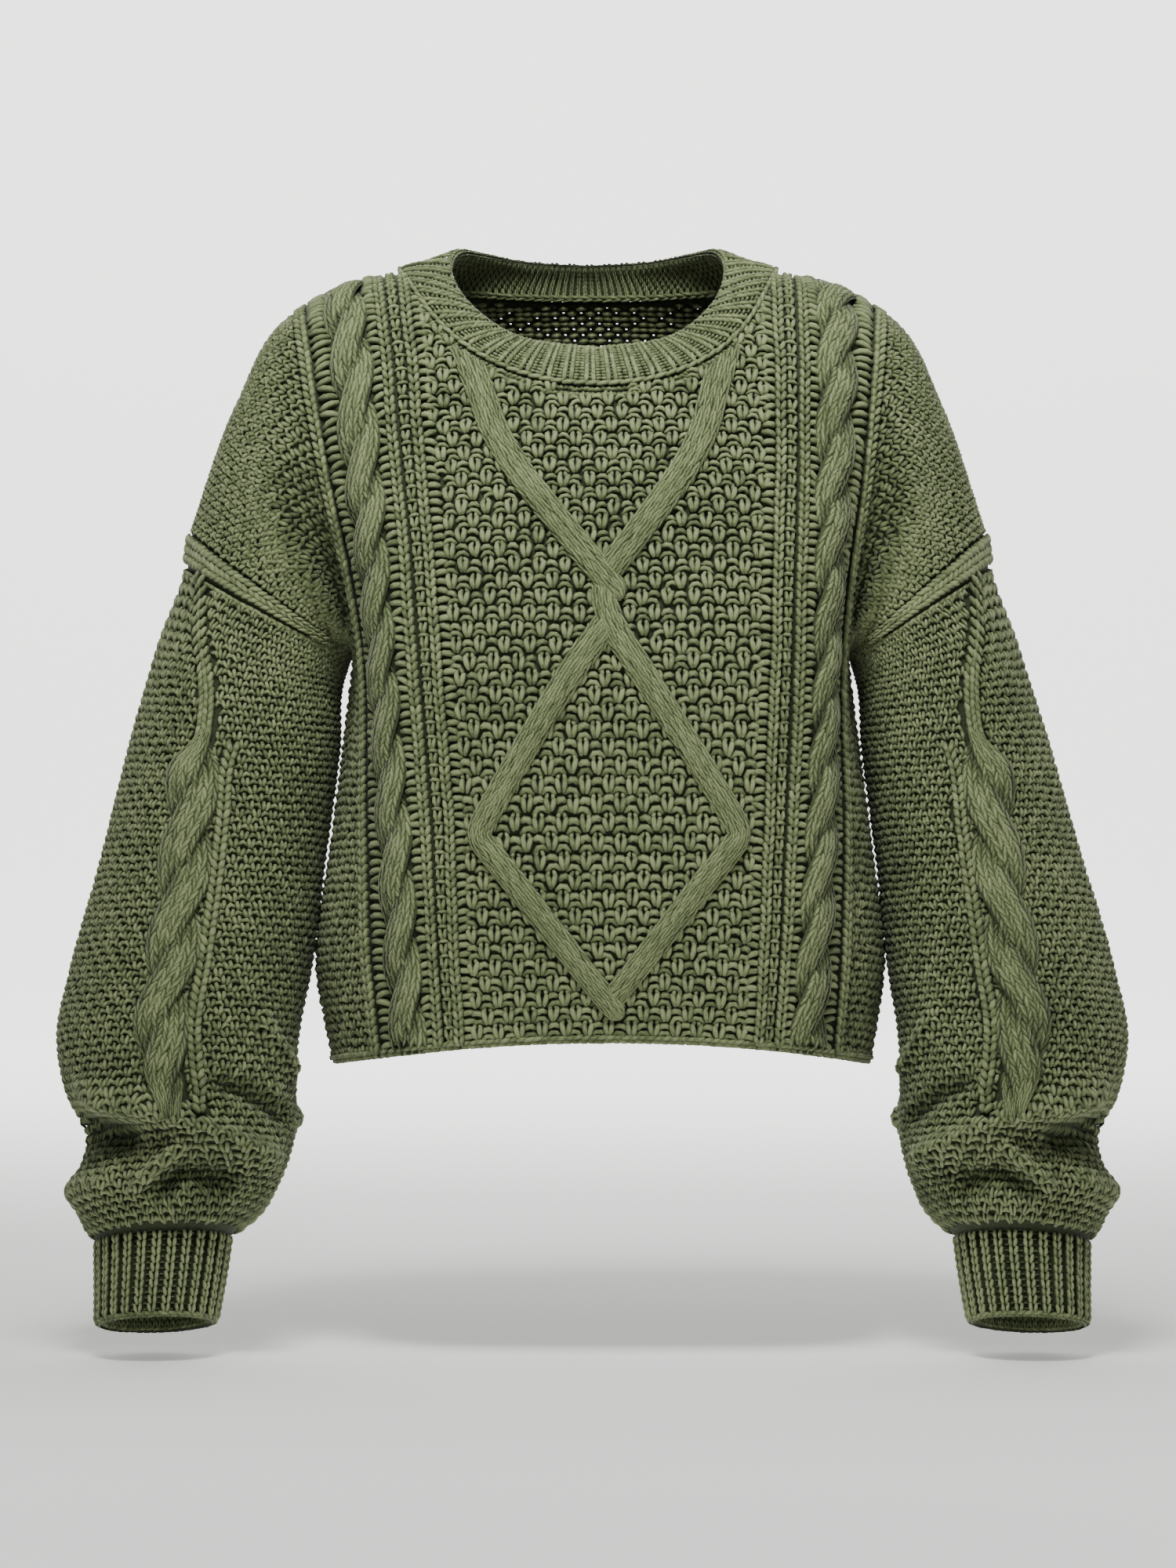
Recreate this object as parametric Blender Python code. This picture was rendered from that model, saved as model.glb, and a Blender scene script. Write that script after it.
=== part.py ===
"""A cropped cable-knit sweater: drop shoulders, balloon sleeves, ribbed neckband and cuffs.

The front faces -Y. The origin is on the middle line, level with the neck ends of the
shoulder seams, where shoulders hold the garment up. Sizes below are millimetres, and
become metres when a mesh is made. Each panel is one wall of knitted cloth, whose cables,
bands and ribs stand proud of its outer face over a plain inside.
"""

import bmesh
import bpy
import numpy as np
from mathutils import Vector
from mathutils.geometry import delaunay_2d_cdt

MM = 0.001
WALL = 4.0  # thickness of the chunky knit between its raised stitches
SEAM = 0.3  # gap between two pieces that are joined
FRONT, BACK = -1, 1
LEFT, RIGHT = -1, 1

# ---------------------------------------------------------------------------
# The body: one row for each section down the cloth, one column for each line of
# stitches from the middle to the side. The edge column is the armhole down to the
# underarm, and the side seam below it.
# ---------------------------------------------------------------------------
#          shoulder yoke  neck  chest bust underarm waist  hip  hem
LENGTH = (0, 48, 106, 164, 222, 276, 398, 466, 530)
#        middle ladder cable fold  cap  edge
ACROSS = (0, 112, 142, 172, 240, 310)
UNDERARM = 276.0
HEM = 530.0
EDGE = 310.0

OUT = (
    (0, 127, 155, 189, 225, 253),
    (0, 125, 154, 187, 222, 247),
    (0, 122, 150, 181, 212, 223),
    (0, 119, 146, 172, 199, 192),
    (0, 115, 142, 160, 170, 167),
    (0, 112, 139, 152, 157, 158),
    (0, 105, 132, 153, 167, 173),
    (0, 102, 127, 152, 173, 182),
    (0, 98, 122, 146, 165, 172),
)
FRONT_DEPTH = (
    (20, 0, 0, 0, 0, 0),
    (-52, -46, -43, -40, -36, -32),
    (-84, -79, -73, -64, -56, -58),
    (-103, -95, -86, -70, -66, -59),
    (-115, -104, -92, -58, -56, -36),
    (-120, -106, -88, -52, -26, 0),
    (-118, -107, -92, -63, -33, 0),
    (-117, -108, -96, -70, -38, 0),
    (-113, -104, -94, -70, -38, 0),
)
BACK_DEPTH = (
    (20, 0, 0, 0, 0, 0),
    (74, 47, 43, 40, 36, 32),
    (102, 85, 76, 66, 57, 58),
    (112, 98, 86, 71, 66, 59),
    (115, 102, 88, 56, 55, 36),
    (114, 100, 82, 50, 25, 0),
    (110, 98, 84, 58, 32, 0),
    (108, 97, 85, 62, 35, 0),
    (105, 95, 83, 62, 34, 0),
)
FRONT_HEIGHT = (
    (14, 1, -6, -24, -82, -165),
    (-8, -14, -21, -37, -92, -171),
    (-58, -62, -68, -82, -121, -190),
    (-118, -122, -128, -138, -160, -215),
    (-178, -180, -184, -189, -212, -235),
    (-236, -236, -237, -238, -240, -242),
    (-356, -357, -358, -360, -362, -364),
    (-424, -426, -428, -431, -434, -437),
    (-484, -489, -492, -496, -500, -503),
)
BACK_HEIGHT = (
    (22, 1, -6, -24, -82, -165),
    (-2, -12, -20, -37, -92, -171),
    (-55, -62, -68, -82, -121, -190),
    (-112, -121, -128, -138, -160, -215),
    (-172, -179, -184, -189, -212, -235),
    (-232, -235, -237, -238, -240, -242),
    (-355, -357, -358, -360, -362, -364),
    (-425, -427, -428, -431, -434, -437),
    (-492, -494, -496, -499, -501, -503),
)

# The armhole is an ellipse in a plane that slopes down towards the body.
ARMHOLE_OUT, ARMHOLE_HEIGHT = 205.75, -203.5
ARMHOLE_REACH, ARMHOLE_DEPTH = 61.4, 62.0
ARMHOLE_RISE = 38.9  # degrees

# The neck opening, as the deepest point down each panel and the width on the shoulder.
NECK_HALF_WIDTH = 105.0
NECK_DROP = {FRONT: 125.0, BACK: 57.0}
NECK_POWER = {FRONT: 2.4, BACK: 2.7}

# The cloth hangs a little to one side: how far, by height, in the middle of the body.
LEAN_HEIGHT = (-620, -504, -350, -240, -160, -60, 0, 30)
LEAN = (8, 13, 13, 11, 9, 5, 0, 0)
LEAN_FULL, LEAN_NONE = 110.0, 250.0  # distances from the middle
ARM_LEAN_HEIGHT = (-400, -250)
ARM_LEAN = (2.7, 0)

# ---------------------------------------------------------------------------
# What is raised on the panels
# ---------------------------------------------------------------------------
RIB_LINES = (104.0, 120.0, 167.0)
RIB_HALF, RIB_RAISE = 3.5, 2.2
CABLE_LINE, CABLE_HALF, CABLE_RAISE = 142.0, 14.0, 7.0
CABLE_TURN = 41.5  # length of one crossing
CABLE_LEAN = 0.6  # share of a crossing by which a strand climbs from the middle to the edge
CABLE_GROOVE = 0.3  # height left between two strands, as a share of the rope's
BAND_HALF, BAND_TOP, BAND_RAISE = 7.5, 4.5, 4.5
BAND_STEP = 10.0
# Routes of the raised bands, as (across, length): each is mirrored for the other side.
UPPER_ARM = ((74, 96), (66, 128), (56, 164), (28, 206), (0, 240), (-11, 253))
DIAMOND_TOP = ((-8, 250), (0, 262), (21, 294), (60, 356), (84, 394))
DIAMOND_FOOT = ((84, 400), (48, 444), (10, 492), (-9, 514))

# ---------------------------------------------------------------------------
# The sleeve: sections from the armhole to the cuff. rise is how far the outer end of a
# section is turned up, pitch how far its front is turned up, both in degrees.
# ---------------------------------------------------------------------------
#   length  out   depth height half_w half_d rise pitch
SLEEVE = (
    (0, 205.75, 0, -203.5, 61.4, 62, 38.9, 0),
    (14, 208.2, 0, -217, 56.9, 62.3, 31, 0),
    (48, 219.1, -1, -249, 56.6, 64, 12, 1),
    (100, 229.2, -3, -300, 63.1, 66, 3, 2),
    (170, 242.9, -6, -369, 68.0, 69, 1, 4),
    (246, 257.7, -11, -444, 74.2, 74, 0, 6),
    (290, 265.0, -16, -487, 74.5, 76, 0, 8),
    (323, 262.5, -21, -520, 71, 74, 0, 9),
    (351, 256.5, -26, -548, 65, 68, -1, 10),
    (384, 262.0, -33, -580, 62, 66, -3, 12),
    (405, 266.0, -38, -600, 55, 57, -4, 13),
    (418, 270.2, -41, -612, 43.2, 43.5, -3, 13),
)
SLEEVE_END = 418.0
#   length  out   depth height half_w half_d rise pitch
CUFF = (
    (0, 270.2, -41, -612, 41.5, 42.0, -3, 13),
    (26, 271.6, -48, -638, 39.2, 40.0, -2, 14),
    (52, 273.4, -55, -663, 36.8, 38.0, -2, 14),
)
CUFF_END = 52.0
GIRTH = 440.0  # a mean distance round the sleeve

JOIN_BAND, JOIN_RAISE = 12.0, 3.0  # the raised band where a sleeve joins the body
JOIN_PLAIN = 40.0  # degrees to each side of the underarm without it
STEM_HALF, STEM_TOP, STEM_RAISE = 5.5, 3.0, 3.0  # the narrow band between it and the cable
SLEEVE_CABLE_HALF, SLEEVE_CABLE_RAISE, SLEEVE_TURN = 17.0, 8.0, 52.0
SLEEVE_CABLE_ENDS = (96.0, 340.0)
# The cable's middle line: angle round the sleeve from the underarm, by length.
CABLE_ROUTE_LENGTH = (0, 30, 57, 88, 120, 148, 250, 418)
CABLE_ROUTE_ANGLE = (144, 126, 109, 102, 103, 100, 93, 92)

# Folds above the cuff: (angle, length) of the start, middle and end, half width and rise.
FOLDS = (
    ((100, 336), (61, 356), (8, 374), 10.0, 11.0),
    ((98, 392), (76, 380), (44, 388), 8.0, -8.0),
    ((188, 347), (146, 349), (104, 358), 7.0, -11.0),
    ((208, 384), (160, 384), (108, 386), 10.0, 6.5),
    ((186, 328), (150, 331), (114, 326), 8.0, 4.5),
    ((74, 320), (46, 331), (10, 348), 7.0, -6.0),
    ((52, 272), (28, 300), (4, 318), 7.0, 5.0),
    ((184, 347), (232, 344), (284, 352), 9.0, -9.0),
    ((214, 376), (262, 370), (325, 384), 11.0, 8.0),
    ((356, 340), (325, 334), (290, 318), 9.0, 6.0),
    ((190, 316), (230, 306), (262, 312), 8.0, 4.0),
)

NECKBAND_RIBS, CUFF_RIBS = 50, 28
# Height of a rib's points in turn, as a share of its raise: the rest of a rib is recessed.
NECKBAND_RIB, CUFF_RIB = (1.0, 1.0, 0.0, 0.0, 0.0), (1.0, 0.0)
BAND_RIB_RAISE, CUFF_RIB_RAISE = 2.2, 2.4
NECKBAND_SWELL = 2.5
# The neckband's top edge: an ellipse in plan, its height by angle round from the front.
COLLAR_OUT, COLLAR_FRONT, COLLAR_BACK = 87.0, 78.0, 75.0
COLLAR_ANGLE = (0, 34, 60, 90, 110, 131, 150, 180)
COLLAR_HEIGHT = (-54, -45, -24, 6, 18, 18, 15, 13)
NECK_OUT, NECK_FRONT, NECK_BACK = 119.0, 91.0, 84.0

# name: (colour, roughness) of each piece
FINISH = {
    "front": ((0.105, 0.135, 0.062), 0.95),
    "back": ((0.095, 0.125, 0.058), 0.95),
    "sleeve_left": ((0.100, 0.130, 0.060), 0.95),
    "sleeve_right": ((0.100, 0.130, 0.060), 0.95),
    "neckband": ((0.115, 0.150, 0.070), 0.93),
    "cuff_left": ((0.110, 0.145, 0.068), 0.93),
    "cuff_right": ((0.110, 0.145, 0.068), 0.93),
}


# ---------------------------------------------------------------------------
# Curves
# ---------------------------------------------------------------------------
def smooth(knots, values, at):
    """A smooth curve through values at knots, read at each place. With a leading axis on
    values, each place reads its own curve."""
    knots = np.asarray(knots, float)
    values = np.asarray(values, float)
    at = np.clip(np.asarray(at, float), knots[0], knots[-1])
    shared = values.ndim < 3
    if values.ndim == 1:
        values = values[:, None]
    slopes = np.gradient(values, knots, axis=-2)
    i = np.clip(np.searchsorted(knots, at, side="right") - 1, 0, len(knots) - 2)
    pick = (i,) if shared else (np.arange(len(at)), i)
    after = (i + 1,) if shared else (np.arange(len(at)), i + 1)
    span = (knots[i + 1] - knots[i])[:, None]
    f = (at - knots[i])[:, None] / span
    return (
        (1 + 2 * f) * (1 - f) ** 2 * values[pick]
        + f * (1 - f) ** 2 * span * slopes[pick]
        + f**2 * (3 - 2 * f) * values[after]
        + f**2 * (f - 1) * span * slopes[after]
    )


def smooth_step(x):
    x = np.clip(x, 0, 1)
    return x * x * (3 - 2 * x)


def leant(points):
    """The cloth hung a little to one side, more in the middle than out on the arms."""
    reach = smooth_step((np.abs(points[:, 0]) - LEAN_FULL) / (LEAN_NONE - LEAN_FULL))
    shift = np.interp(points[:, 2], LEAN_HEIGHT, LEAN) * (1 - reach)
    shift += np.interp(points[:, 2], ARM_LEAN_HEIGHT, ARM_LEAN) * reach
    return points + shift[:, None] * np.array((1.0, 0.0, 0.0))


def unit(vectors):
    return vectors / np.linalg.norm(vectors, axis=-1, keepdims=True)


def distance_to_route(points, route):
    """How far each point lies from a route of straight runs, and how far along it is nearest."""
    nearest = np.full(len(points), np.inf)
    along = np.zeros(len(points))
    done = 0.0
    for start, end in zip(np.array(route[:-1], float), np.array(route[1:], float)):
        run = end - start
        length = np.linalg.norm(run)
        f = np.clip((points - start) @ run / length**2, 0, 1)
        gap = np.linalg.norm(points - start - f[:, None] * run, axis=1)
        closer = gap < nearest
        nearest = np.where(closer, gap, nearest)
        along = np.where(closer, done + f * length, along)
        done += length
    return nearest, along


def points_along(route, step):
    """(point, direction) pairs at about this step along a route of straight runs."""
    found = []
    for start, end in zip(np.array(route[:-1], float), np.array(route[1:], float)):
        length = np.linalg.norm(end - start)
        count = max(1, round(length / step))
        found += [(start + (end - start) * k / count, (end - start) / length) for k in range(count)]
    return found + [(np.array(route[-1], float), found[-1][1])]


def band_points(route, step):
    """Points on the foot and the top edge of a raised band, and round its two ends."""
    stops = points_along(route, step)
    found = []
    for middle, run in stops:
        across = np.array((-run[1], run[0]))
        for off in (-BAND_HALF, -BAND_TOP, BAND_TOP, BAND_HALF):
            found.append(tuple(middle + off * across))
    for (middle, run), sign in ((stops[0], -1), (stops[-1], 1)):
        across = np.array((-run[1], run[0]))
        for reach in (BAND_HALF, BAND_TOP):
            for turn in (-0.7, 0.0, 0.7):
                way = sign * run * np.cos(turn) + across * np.sin(turn)
                found.append(tuple(middle + reach * way))
    return found


# ---------------------------------------------------------------------------
# The cloth's own surfaces
# ---------------------------------------------------------------------------
def armhole(side_of_panel, angle):
    """Points of the armhole, by angle from its outer tip, on the mirrored right arm."""
    turn = np.radians(angle)
    rise = np.radians(ARMHOLE_RISE)
    out = ARMHOLE_OUT + ARMHOLE_REACH * np.cos(turn) * np.cos(rise)
    height = ARMHOLE_HEIGHT + ARMHOLE_REACH * np.cos(turn) * np.sin(rise)
    return np.stack([out, side_of_panel * ARMHOLE_DEPTH * np.sin(turn), height], axis=1)


def panel_table(face):
    depth, height = (FRONT_DEPTH, FRONT_HEIGHT) if face == FRONT else (BACK_DEPTH, BACK_HEIGHT)
    return np.stack([np.array(OUT), np.array(depth), np.array(height)], axis=2).astype(float)


def panel_point(face, across, length):
    """Points of a body panel's outer face, by stitches across and down its cloth."""
    table = panel_table(face)
    rows, columns, _ = table.shape
    stations = smooth(LENGTH, table.reshape(rows, -1), length).reshape(-1, columns, 3)
    below = LENGTH.index(int(UNDERARM))
    seam = smooth(LENGTH[below:], table[below:, -1], np.maximum(length, UNDERARM))
    ring = armhole(face, 180 * np.minimum(length, UNDERARM) / UNDERARM)
    stations[:, -1] = np.where((length < UNDERARM)[:, None], ring, seam)
    mirrored = stations[:, :0:-1] * np.array((-1.0, 1.0, 1.0))
    knots = [-a for a in ACROSS[:0:-1]] + list(ACROSS)
    points = smooth(knots, np.concatenate([mirrored, stations], axis=1), across)
    points[:, 1] += face * SEAM / 2
    return leant(points)


def sleeve_point(side, table, angle, length):
    """Points of a sleeve or cuff, by angle round it from the underarm through the front."""
    rows = np.array(table, float)
    row = smooth(rows[:, 0], rows[:, 1:], length)
    turn, rise, pitch = np.radians(angle), np.radians(row[:, 5]), np.radians(row[:, 6])
    outward = -row[:, 3] * np.cos(turn)
    forward = row[:, 4] * np.sin(turn)
    out = row[:, 0] + outward * np.cos(rise)
    depth = row[:, 1] - forward * np.cos(pitch)
    height = row[:, 2] + outward * np.sin(rise) + forward * np.sin(pitch)
    return np.stack([side * out, depth, height], axis=1)


def normals(surface, a, b, flip):
    """Unit normals of a surface of two parameters, by small steps to each side."""
    step = 0.4
    along = surface(a + step, b) - surface(a - step, b)
    down = surface(a, b + step) - surface(a, b - step)
    return unit(flip * np.cross(along, down))


def join_direction(side, angle):
    """The way a wall faces at the armhole, by angle from the underarm through the front."""
    turn, rise = np.radians(angle), np.radians(ARMHOLE_RISE)
    radial = np.stack(
        [-side * np.cos(turn) * np.cos(rise), -np.sin(turn), -np.cos(turn) * np.sin(rise)], axis=1
    )
    off = np.abs((np.asarray(angle) + 180) % 360 - 180)
    crotch = (1 - smooth_step(off / 60))[:, None]
    return unit(radial * (1 - crotch) + np.array((0.0, 0.0, -1.0)) * crotch)


# ---------------------------------------------------------------------------
# Raised work
# ---------------------------------------------------------------------------
def cable_height(w, length, turn, lean, raise_by):
    """A rope of two strands: w runs -1 to 1 across it, and a groove parts each crossing."""
    envelope = np.sqrt(np.clip(1 - w**2, 0, 1))
    phase = (length / turn + lean * w) % 1.0
    return raise_by * envelope * (CABLE_GROOVE + (1 - CABLE_GROOVE) * np.sin(np.pi * phase) ** 0.7)


def ridge_height(distance, half, top, raise_by):
    return raise_by * np.clip((half - distance) / (half - top), 0, 1)


def mirrored_route(route):
    return tuple((-across, length) for across, length in route)


def band_routes():
    """Every raised band of the front, those that pass over at a crossing first."""
    return (
        mirrored_route(UPPER_ARM),
        DIAMOND_TOP,
        mirrored_route(DIAMOND_FOOT),
        UPPER_ARM[:-1],
        mirrored_route(DIAMOND_TOP[1:]),
        DIAMOND_FOOT[:-1],
    )


def panel_raise(face, across, length):
    """How far the outer face stands proud at each point of a body panel."""
    out = np.abs(across)
    height = np.zeros(len(across))
    for line in RIB_LINES:
        height = np.maximum(height, ridge_height(np.abs(out - line), RIB_HALF, 0, RIB_RAISE))
    w = (across - np.sign(across) * CABLE_LINE) / CABLE_HALF
    rope = cable_height(np.clip(w, -1, 1), length, CABLE_TURN, CABLE_LEAN, CABLE_RAISE)
    height = np.maximum(height, rope)
    if face == FRONT:
        at = np.stack([across, length], axis=1)
        for route in band_routes():
            gap, _ = distance_to_route(at, route)
            height = np.maximum(height, ridge_height(gap, BAND_HALF, BAND_TOP, BAND_RAISE))
    return height


def cable_line(length):
    return smooth(CABLE_ROUTE_LENGTH, CABLE_ROUTE_ANGLE, length)[:, 0]


def fold_height(angle, length):
    """The folds above the cuff, as soft ridges and troughs that fade at their ends."""
    at = np.stack([angle / 360 * GIRTH, length], axis=1)
    height = np.zeros(len(at))
    for *route, half, rise in FOLDS:
        route = [(a / 360 * GIRTH, b) for a, b in route]
        gap, along = distance_to_route(at, route)
        whole = distance_to_route(np.array(route[-1:]), route)[1][0]
        ends = smooth_step(along / (0.25 * whole)) * smooth_step((whole - along) / (0.25 * whole))
        height += rise * np.exp(-((gap / half) ** 2)) * ends
    return height * smooth_step((SLEEVE_END - length) / 16)


def sleeve_raise(angle, length):
    """How far a sleeve's outer face stands proud, without its folds."""
    height = ridge_height(np.abs(length - JOIN_BAND / 2), JOIN_BAND / 2, JOIN_BAND / 4, JOIN_RAISE)
    height *= smooth_step((np.abs((angle + 180) % 360 - 180) - JOIN_PLAIN) / JOIN_PLAIN)
    off = (angle - cable_line(length)) / 360 * GIRTH
    start, end = SLEEVE_CABLE_ENDS
    stem = ridge_height(np.abs(off), STEM_HALF, STEM_TOP, STEM_RAISE) * (length <= start)
    grown = smooth_step((length - start) / 30) * smooth_step((end - length) / 40)
    w = off / np.maximum(SLEEVE_CABLE_HALF * (0.5 + 0.5 * grown), 1e-6)
    rope = cable_height(
        np.clip(w, -1, 1), length - start, SLEEVE_TURN, -CABLE_LEAN, SLEEVE_CABLE_RAISE * grown
    )
    inside = (length > start) & (length < end)
    return np.maximum(np.maximum(height, stem), rope * inside)


# ---------------------------------------------------------------------------
# Meshes
# ---------------------------------------------------------------------------
def within(outline, points):
    """Which points lie inside an outline."""
    start = np.array(outline, float)
    end = np.roll(start, -1, axis=0)
    x, y = points[:, :1], points[:, 1:]
    spans = (start[:, 1] > y) != (end[:, 1] > y)
    rise = np.where(end[:, 1] == start[:, 1], 1.0, end[:, 1] - start[:, 1])
    crossing = start[:, 0] + (y - start[:, 1]) / rise * (end[:, 0] - start[:, 0])
    return np.sum(spans & (x < crossing), axis=1) % 2 == 1


def triangulate(outline, inner, lines):
    """Delaunay triangles inside an outline: (places, triangles, index of each outline point)."""
    places = [Vector(p) for p in list(outline) + list(inner)]
    loop = list(range(len(outline)))
    edges = [(a + len(outline), b + len(outline)) for a, b in lines]
    found = delaunay_2d_cdt(places, edges, [loop], 1, 1e-4, True)
    made, triangles, sources = found[0], found[2], found[3]
    index = {old: new for new, olds in enumerate(sources) for old in olds}
    made = np.array([tuple(p) for p in made])
    centres = made[np.array(triangles)].mean(axis=1)
    kept = [t for t, inside in zip(triangles, within(outline, centres)) if inside]
    return made, kept, [index[i] for i in loop]


def spaced(candidates, border, least):
    """The indices of the candidates that keep a least distance from the border points and
    from every candidate taken before them."""
    taken = np.array(border, float)
    kept = []
    for i, point in enumerate(candidates):
        if np.min(np.sum((taken - point) ** 2, axis=1)) >= least**2:
            taken = np.vstack([taken, point])
            kept.append(i)
    return kept


def make_object(name, points, faces):
    mesh = bpy.data.meshes.new(name)
    mesh.from_pydata((np.asarray(points) * MM).tolist(), [], [list(map(int, f)) for f in faces])
    work = bmesh.new()
    work.from_mesh(mesh)
    bmesh.ops.recalc_face_normals(work, faces=work.faces)
    work.to_mesh(mesh)
    work.free()
    mesh.shade_smooth()
    mesh.set_sharp_from_angle(angle=np.radians(50))
    colour, roughness = FINISH[name]
    material = bpy.data.materials.new(name + "_wool")
    material.use_nodes = True
    shader = material.node_tree.nodes["Principled BSDF"]
    shader.inputs["Base Color"].default_value = (*colour, 1.0)
    shader.inputs["Roughness"].default_value = roughness
    shader.inputs["Metallic"].default_value = 0.0
    mesh.materials.append(material)
    made = bpy.data.objects.new(name, mesh)
    bpy.context.scene.collection.objects.link(made)


def two_faced(outer, outer_faces, inner, inner_faces, rims):
    """One closed wall from its outer and inner face, joined along rims, which are pairs of
    loops that match point for point."""
    points = np.vstack([outer, inner])
    faces = list(outer_faces) + [tuple(len(outer) + i for i in f[::-1]) for f in inner_faces]
    for outer_loop, inner_loop in rims:
        ring = [(a, len(outer) + b) for a, b in zip(outer_loop, inner_loop)]
        for (a, b), (c, d) in zip(ring, ring[1:] + ring[:1]):
            if np.linalg.norm(points[a] - points[d]) < np.linalg.norm(points[c] - points[b]):
                faces += [(a, c, d), (a, d, b)]
            else:
                faces += [(a, c, b), (c, d, b)]
    return points, faces


# ---------------------------------------------------------------------------
# Body panels
# ---------------------------------------------------------------------------
LEAST_SPACE = 2.7  # no two points of a face's mesh are nearer than this
EDGE_ROOM, INNER_ROOM = 3.0, 9.0  # kept clear beside an edge, on the outer and inner face
NECK_POINTS = 34
CABLE_ACROSS = (-1.0, -0.62, 0.0, 0.62, 1.0)
CABLE_PHASES = (0.0, 0.17, 0.5, 0.83)
ROWS = (0, 9, 20, 34, 50, 68, 88, 108, 130, 152, 174, 196, 218, 240, 258, 276) + tuple(
    round(276 + (530 - 276) * k / 12, 3) for k in range(1, 13)
)
MIDDLE_COLUMNS = (0, 18, 36, 54, 72, 88)
SIDE_COLUMNS = (186, 207, 232, 258, 284)
INNER_COLUMNS = (20, 60, 100, 130, 158, 186, 220, 262)


def neck_length(face, across):
    """How far down a panel its neck edge lies."""
    power = NECK_POWER[face]
    share = np.clip(np.abs(across) / NECK_HALF_WIDTH, 0, 1)
    return NECK_DROP[face] * (1 - share**power) ** (1 / power)


def neck_curve(face, count):
    """(across, length) round the neck edge from the right shoulder to the left, its points
    about evenly apart."""
    turn = np.linspace(0, np.pi, 400)
    across = NECK_HALF_WIDTH * np.cos(turn)
    fine = panel_point(face, across, neck_length(face, across))
    walked = np.concatenate([[0], np.cumsum(np.linalg.norm(np.diff(fine, axis=0), axis=1))])
    across = np.interp(np.linspace(0, walked[-1], count), walked, across)
    across[0], across[-1] = NECK_HALF_WIDTH, -NECK_HALF_WIDTH
    return np.stack([across, neck_length(face, across)], axis=1)


def border_columns(columns):
    """Both sides' columns, from left to right."""
    out = sorted({c for c in columns if c > 0})
    return [-c for c in reversed(out)] + ([0.0] if 0 in columns else []) + out


def outline_of(face, columns, rows, neck_count):
    """A panel's outline as (across, length), going round from the left end of the hem."""
    hem = [(c, HEM) for c in [-EDGE] + border_columns(columns) + [EDGE]]
    right = [(EDGE, float(r)) for r in reversed(rows[:-1])]
    shoulder = [(c, 0.0) for c in sorted(columns, reverse=True) if c > NECK_HALF_WIDTH + 6]
    neck = [tuple(p) for p in neck_curve(face, neck_count)]
    left = [(-a, b) for a, b in reversed(right + shoulder)]
    return hem + right + shoulder + neck + left


def clear_of_neck(face, points, room):
    """Which points lie inside the panel, this far or more from its edges."""
    across, length = points[:, 0], points[:, 1]
    curve = neck_curve(face, 120)
    gap, _ = distance_to_route(points, [tuple(p) for p in curve])
    inside = (length > neck_length(face, across)) | (np.abs(across) > NECK_HALF_WIDTH)
    edges = (length > room) & (length < HEM - room) & (np.abs(across) < EDGE - room)
    return inside & (gap > room) & edges


def cable_points(line, half, turn, lean, start, end):
    """Points along the grooves and crests of a rope cable, and the lines that join them as
    pairs of their numbers."""
    found, lines = [], []
    for n in range(int(start / turn) - 2, int(end / turn) + 3):
        for phase in CABLE_PHASES:
            last = None
            for w in CABLE_ACROSS:
                length = turn * (n + phase - lean * w)
                if start < length < end:
                    found.append((line + half * w, length))
                    if last is not None:
                        lines.append((last, len(found) - 1))
                    last = len(found) - 1
    return found, lines


def panel_candidates(face):
    """Points that carry the raised work, then those that fill the panel, and the lines of
    the ribs as pairs of candidates."""
    points, lines = [], []
    for sign in (-1, 1):
        for line in RIB_LINES:
            for off in (-RIB_HALF, 0, RIB_HALF):
                column = [(sign * (line + off), float(r)) for r in ROWS[1:-1]]
                lines += [(len(points) + k, len(points) + k + 1) for k in range(len(column) - 1)]
                points += column
        rope, joins = cable_points(
            sign * CABLE_LINE, CABLE_HALF, CABLE_TURN, CABLE_LEAN, 4, HEM - 4
        )
        lines += [(len(points) + a, len(points) + b) for a, b in joins]
        points += rope
    if face == FRONT:
        for route in band_routes():
            points += band_points(route, BAND_STEP)
    step = 1 if face == FRONT else 2
    for r in ROWS[1:-1]:
        for c in MIDDLE_COLUMNS[::step]:
            points += [(c, float(r)), (-c, float(r))] if c else [(0.0, float(r))]
        for c in SIDE_COLUMNS:
            points += [(c, float(r)), (-c, float(r))]
    return np.array(points, float), lines


def panel_normals(face, places):
    """The way the cloth faces, turned into the seam's own plane along each joined edge."""
    across, length = places[:, 0], places[:, 1]
    facing = normals(lambda a, b: panel_point(face, a, b), across, length, face)
    seam = (length <= 0) | (np.abs(across) >= EDGE)
    facing[seam, 1] = 0
    facing = unit(facing)
    for side in (LEFT, RIGHT):
        ring = (side * across >= EDGE) & (length <= UNDERARM)
        if ring.any():
            angle = 180 - 180 * length[ring] / UNDERARM
            facing[ring] = join_direction(side, angle if face == FRONT else -angle)
    return facing


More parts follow.
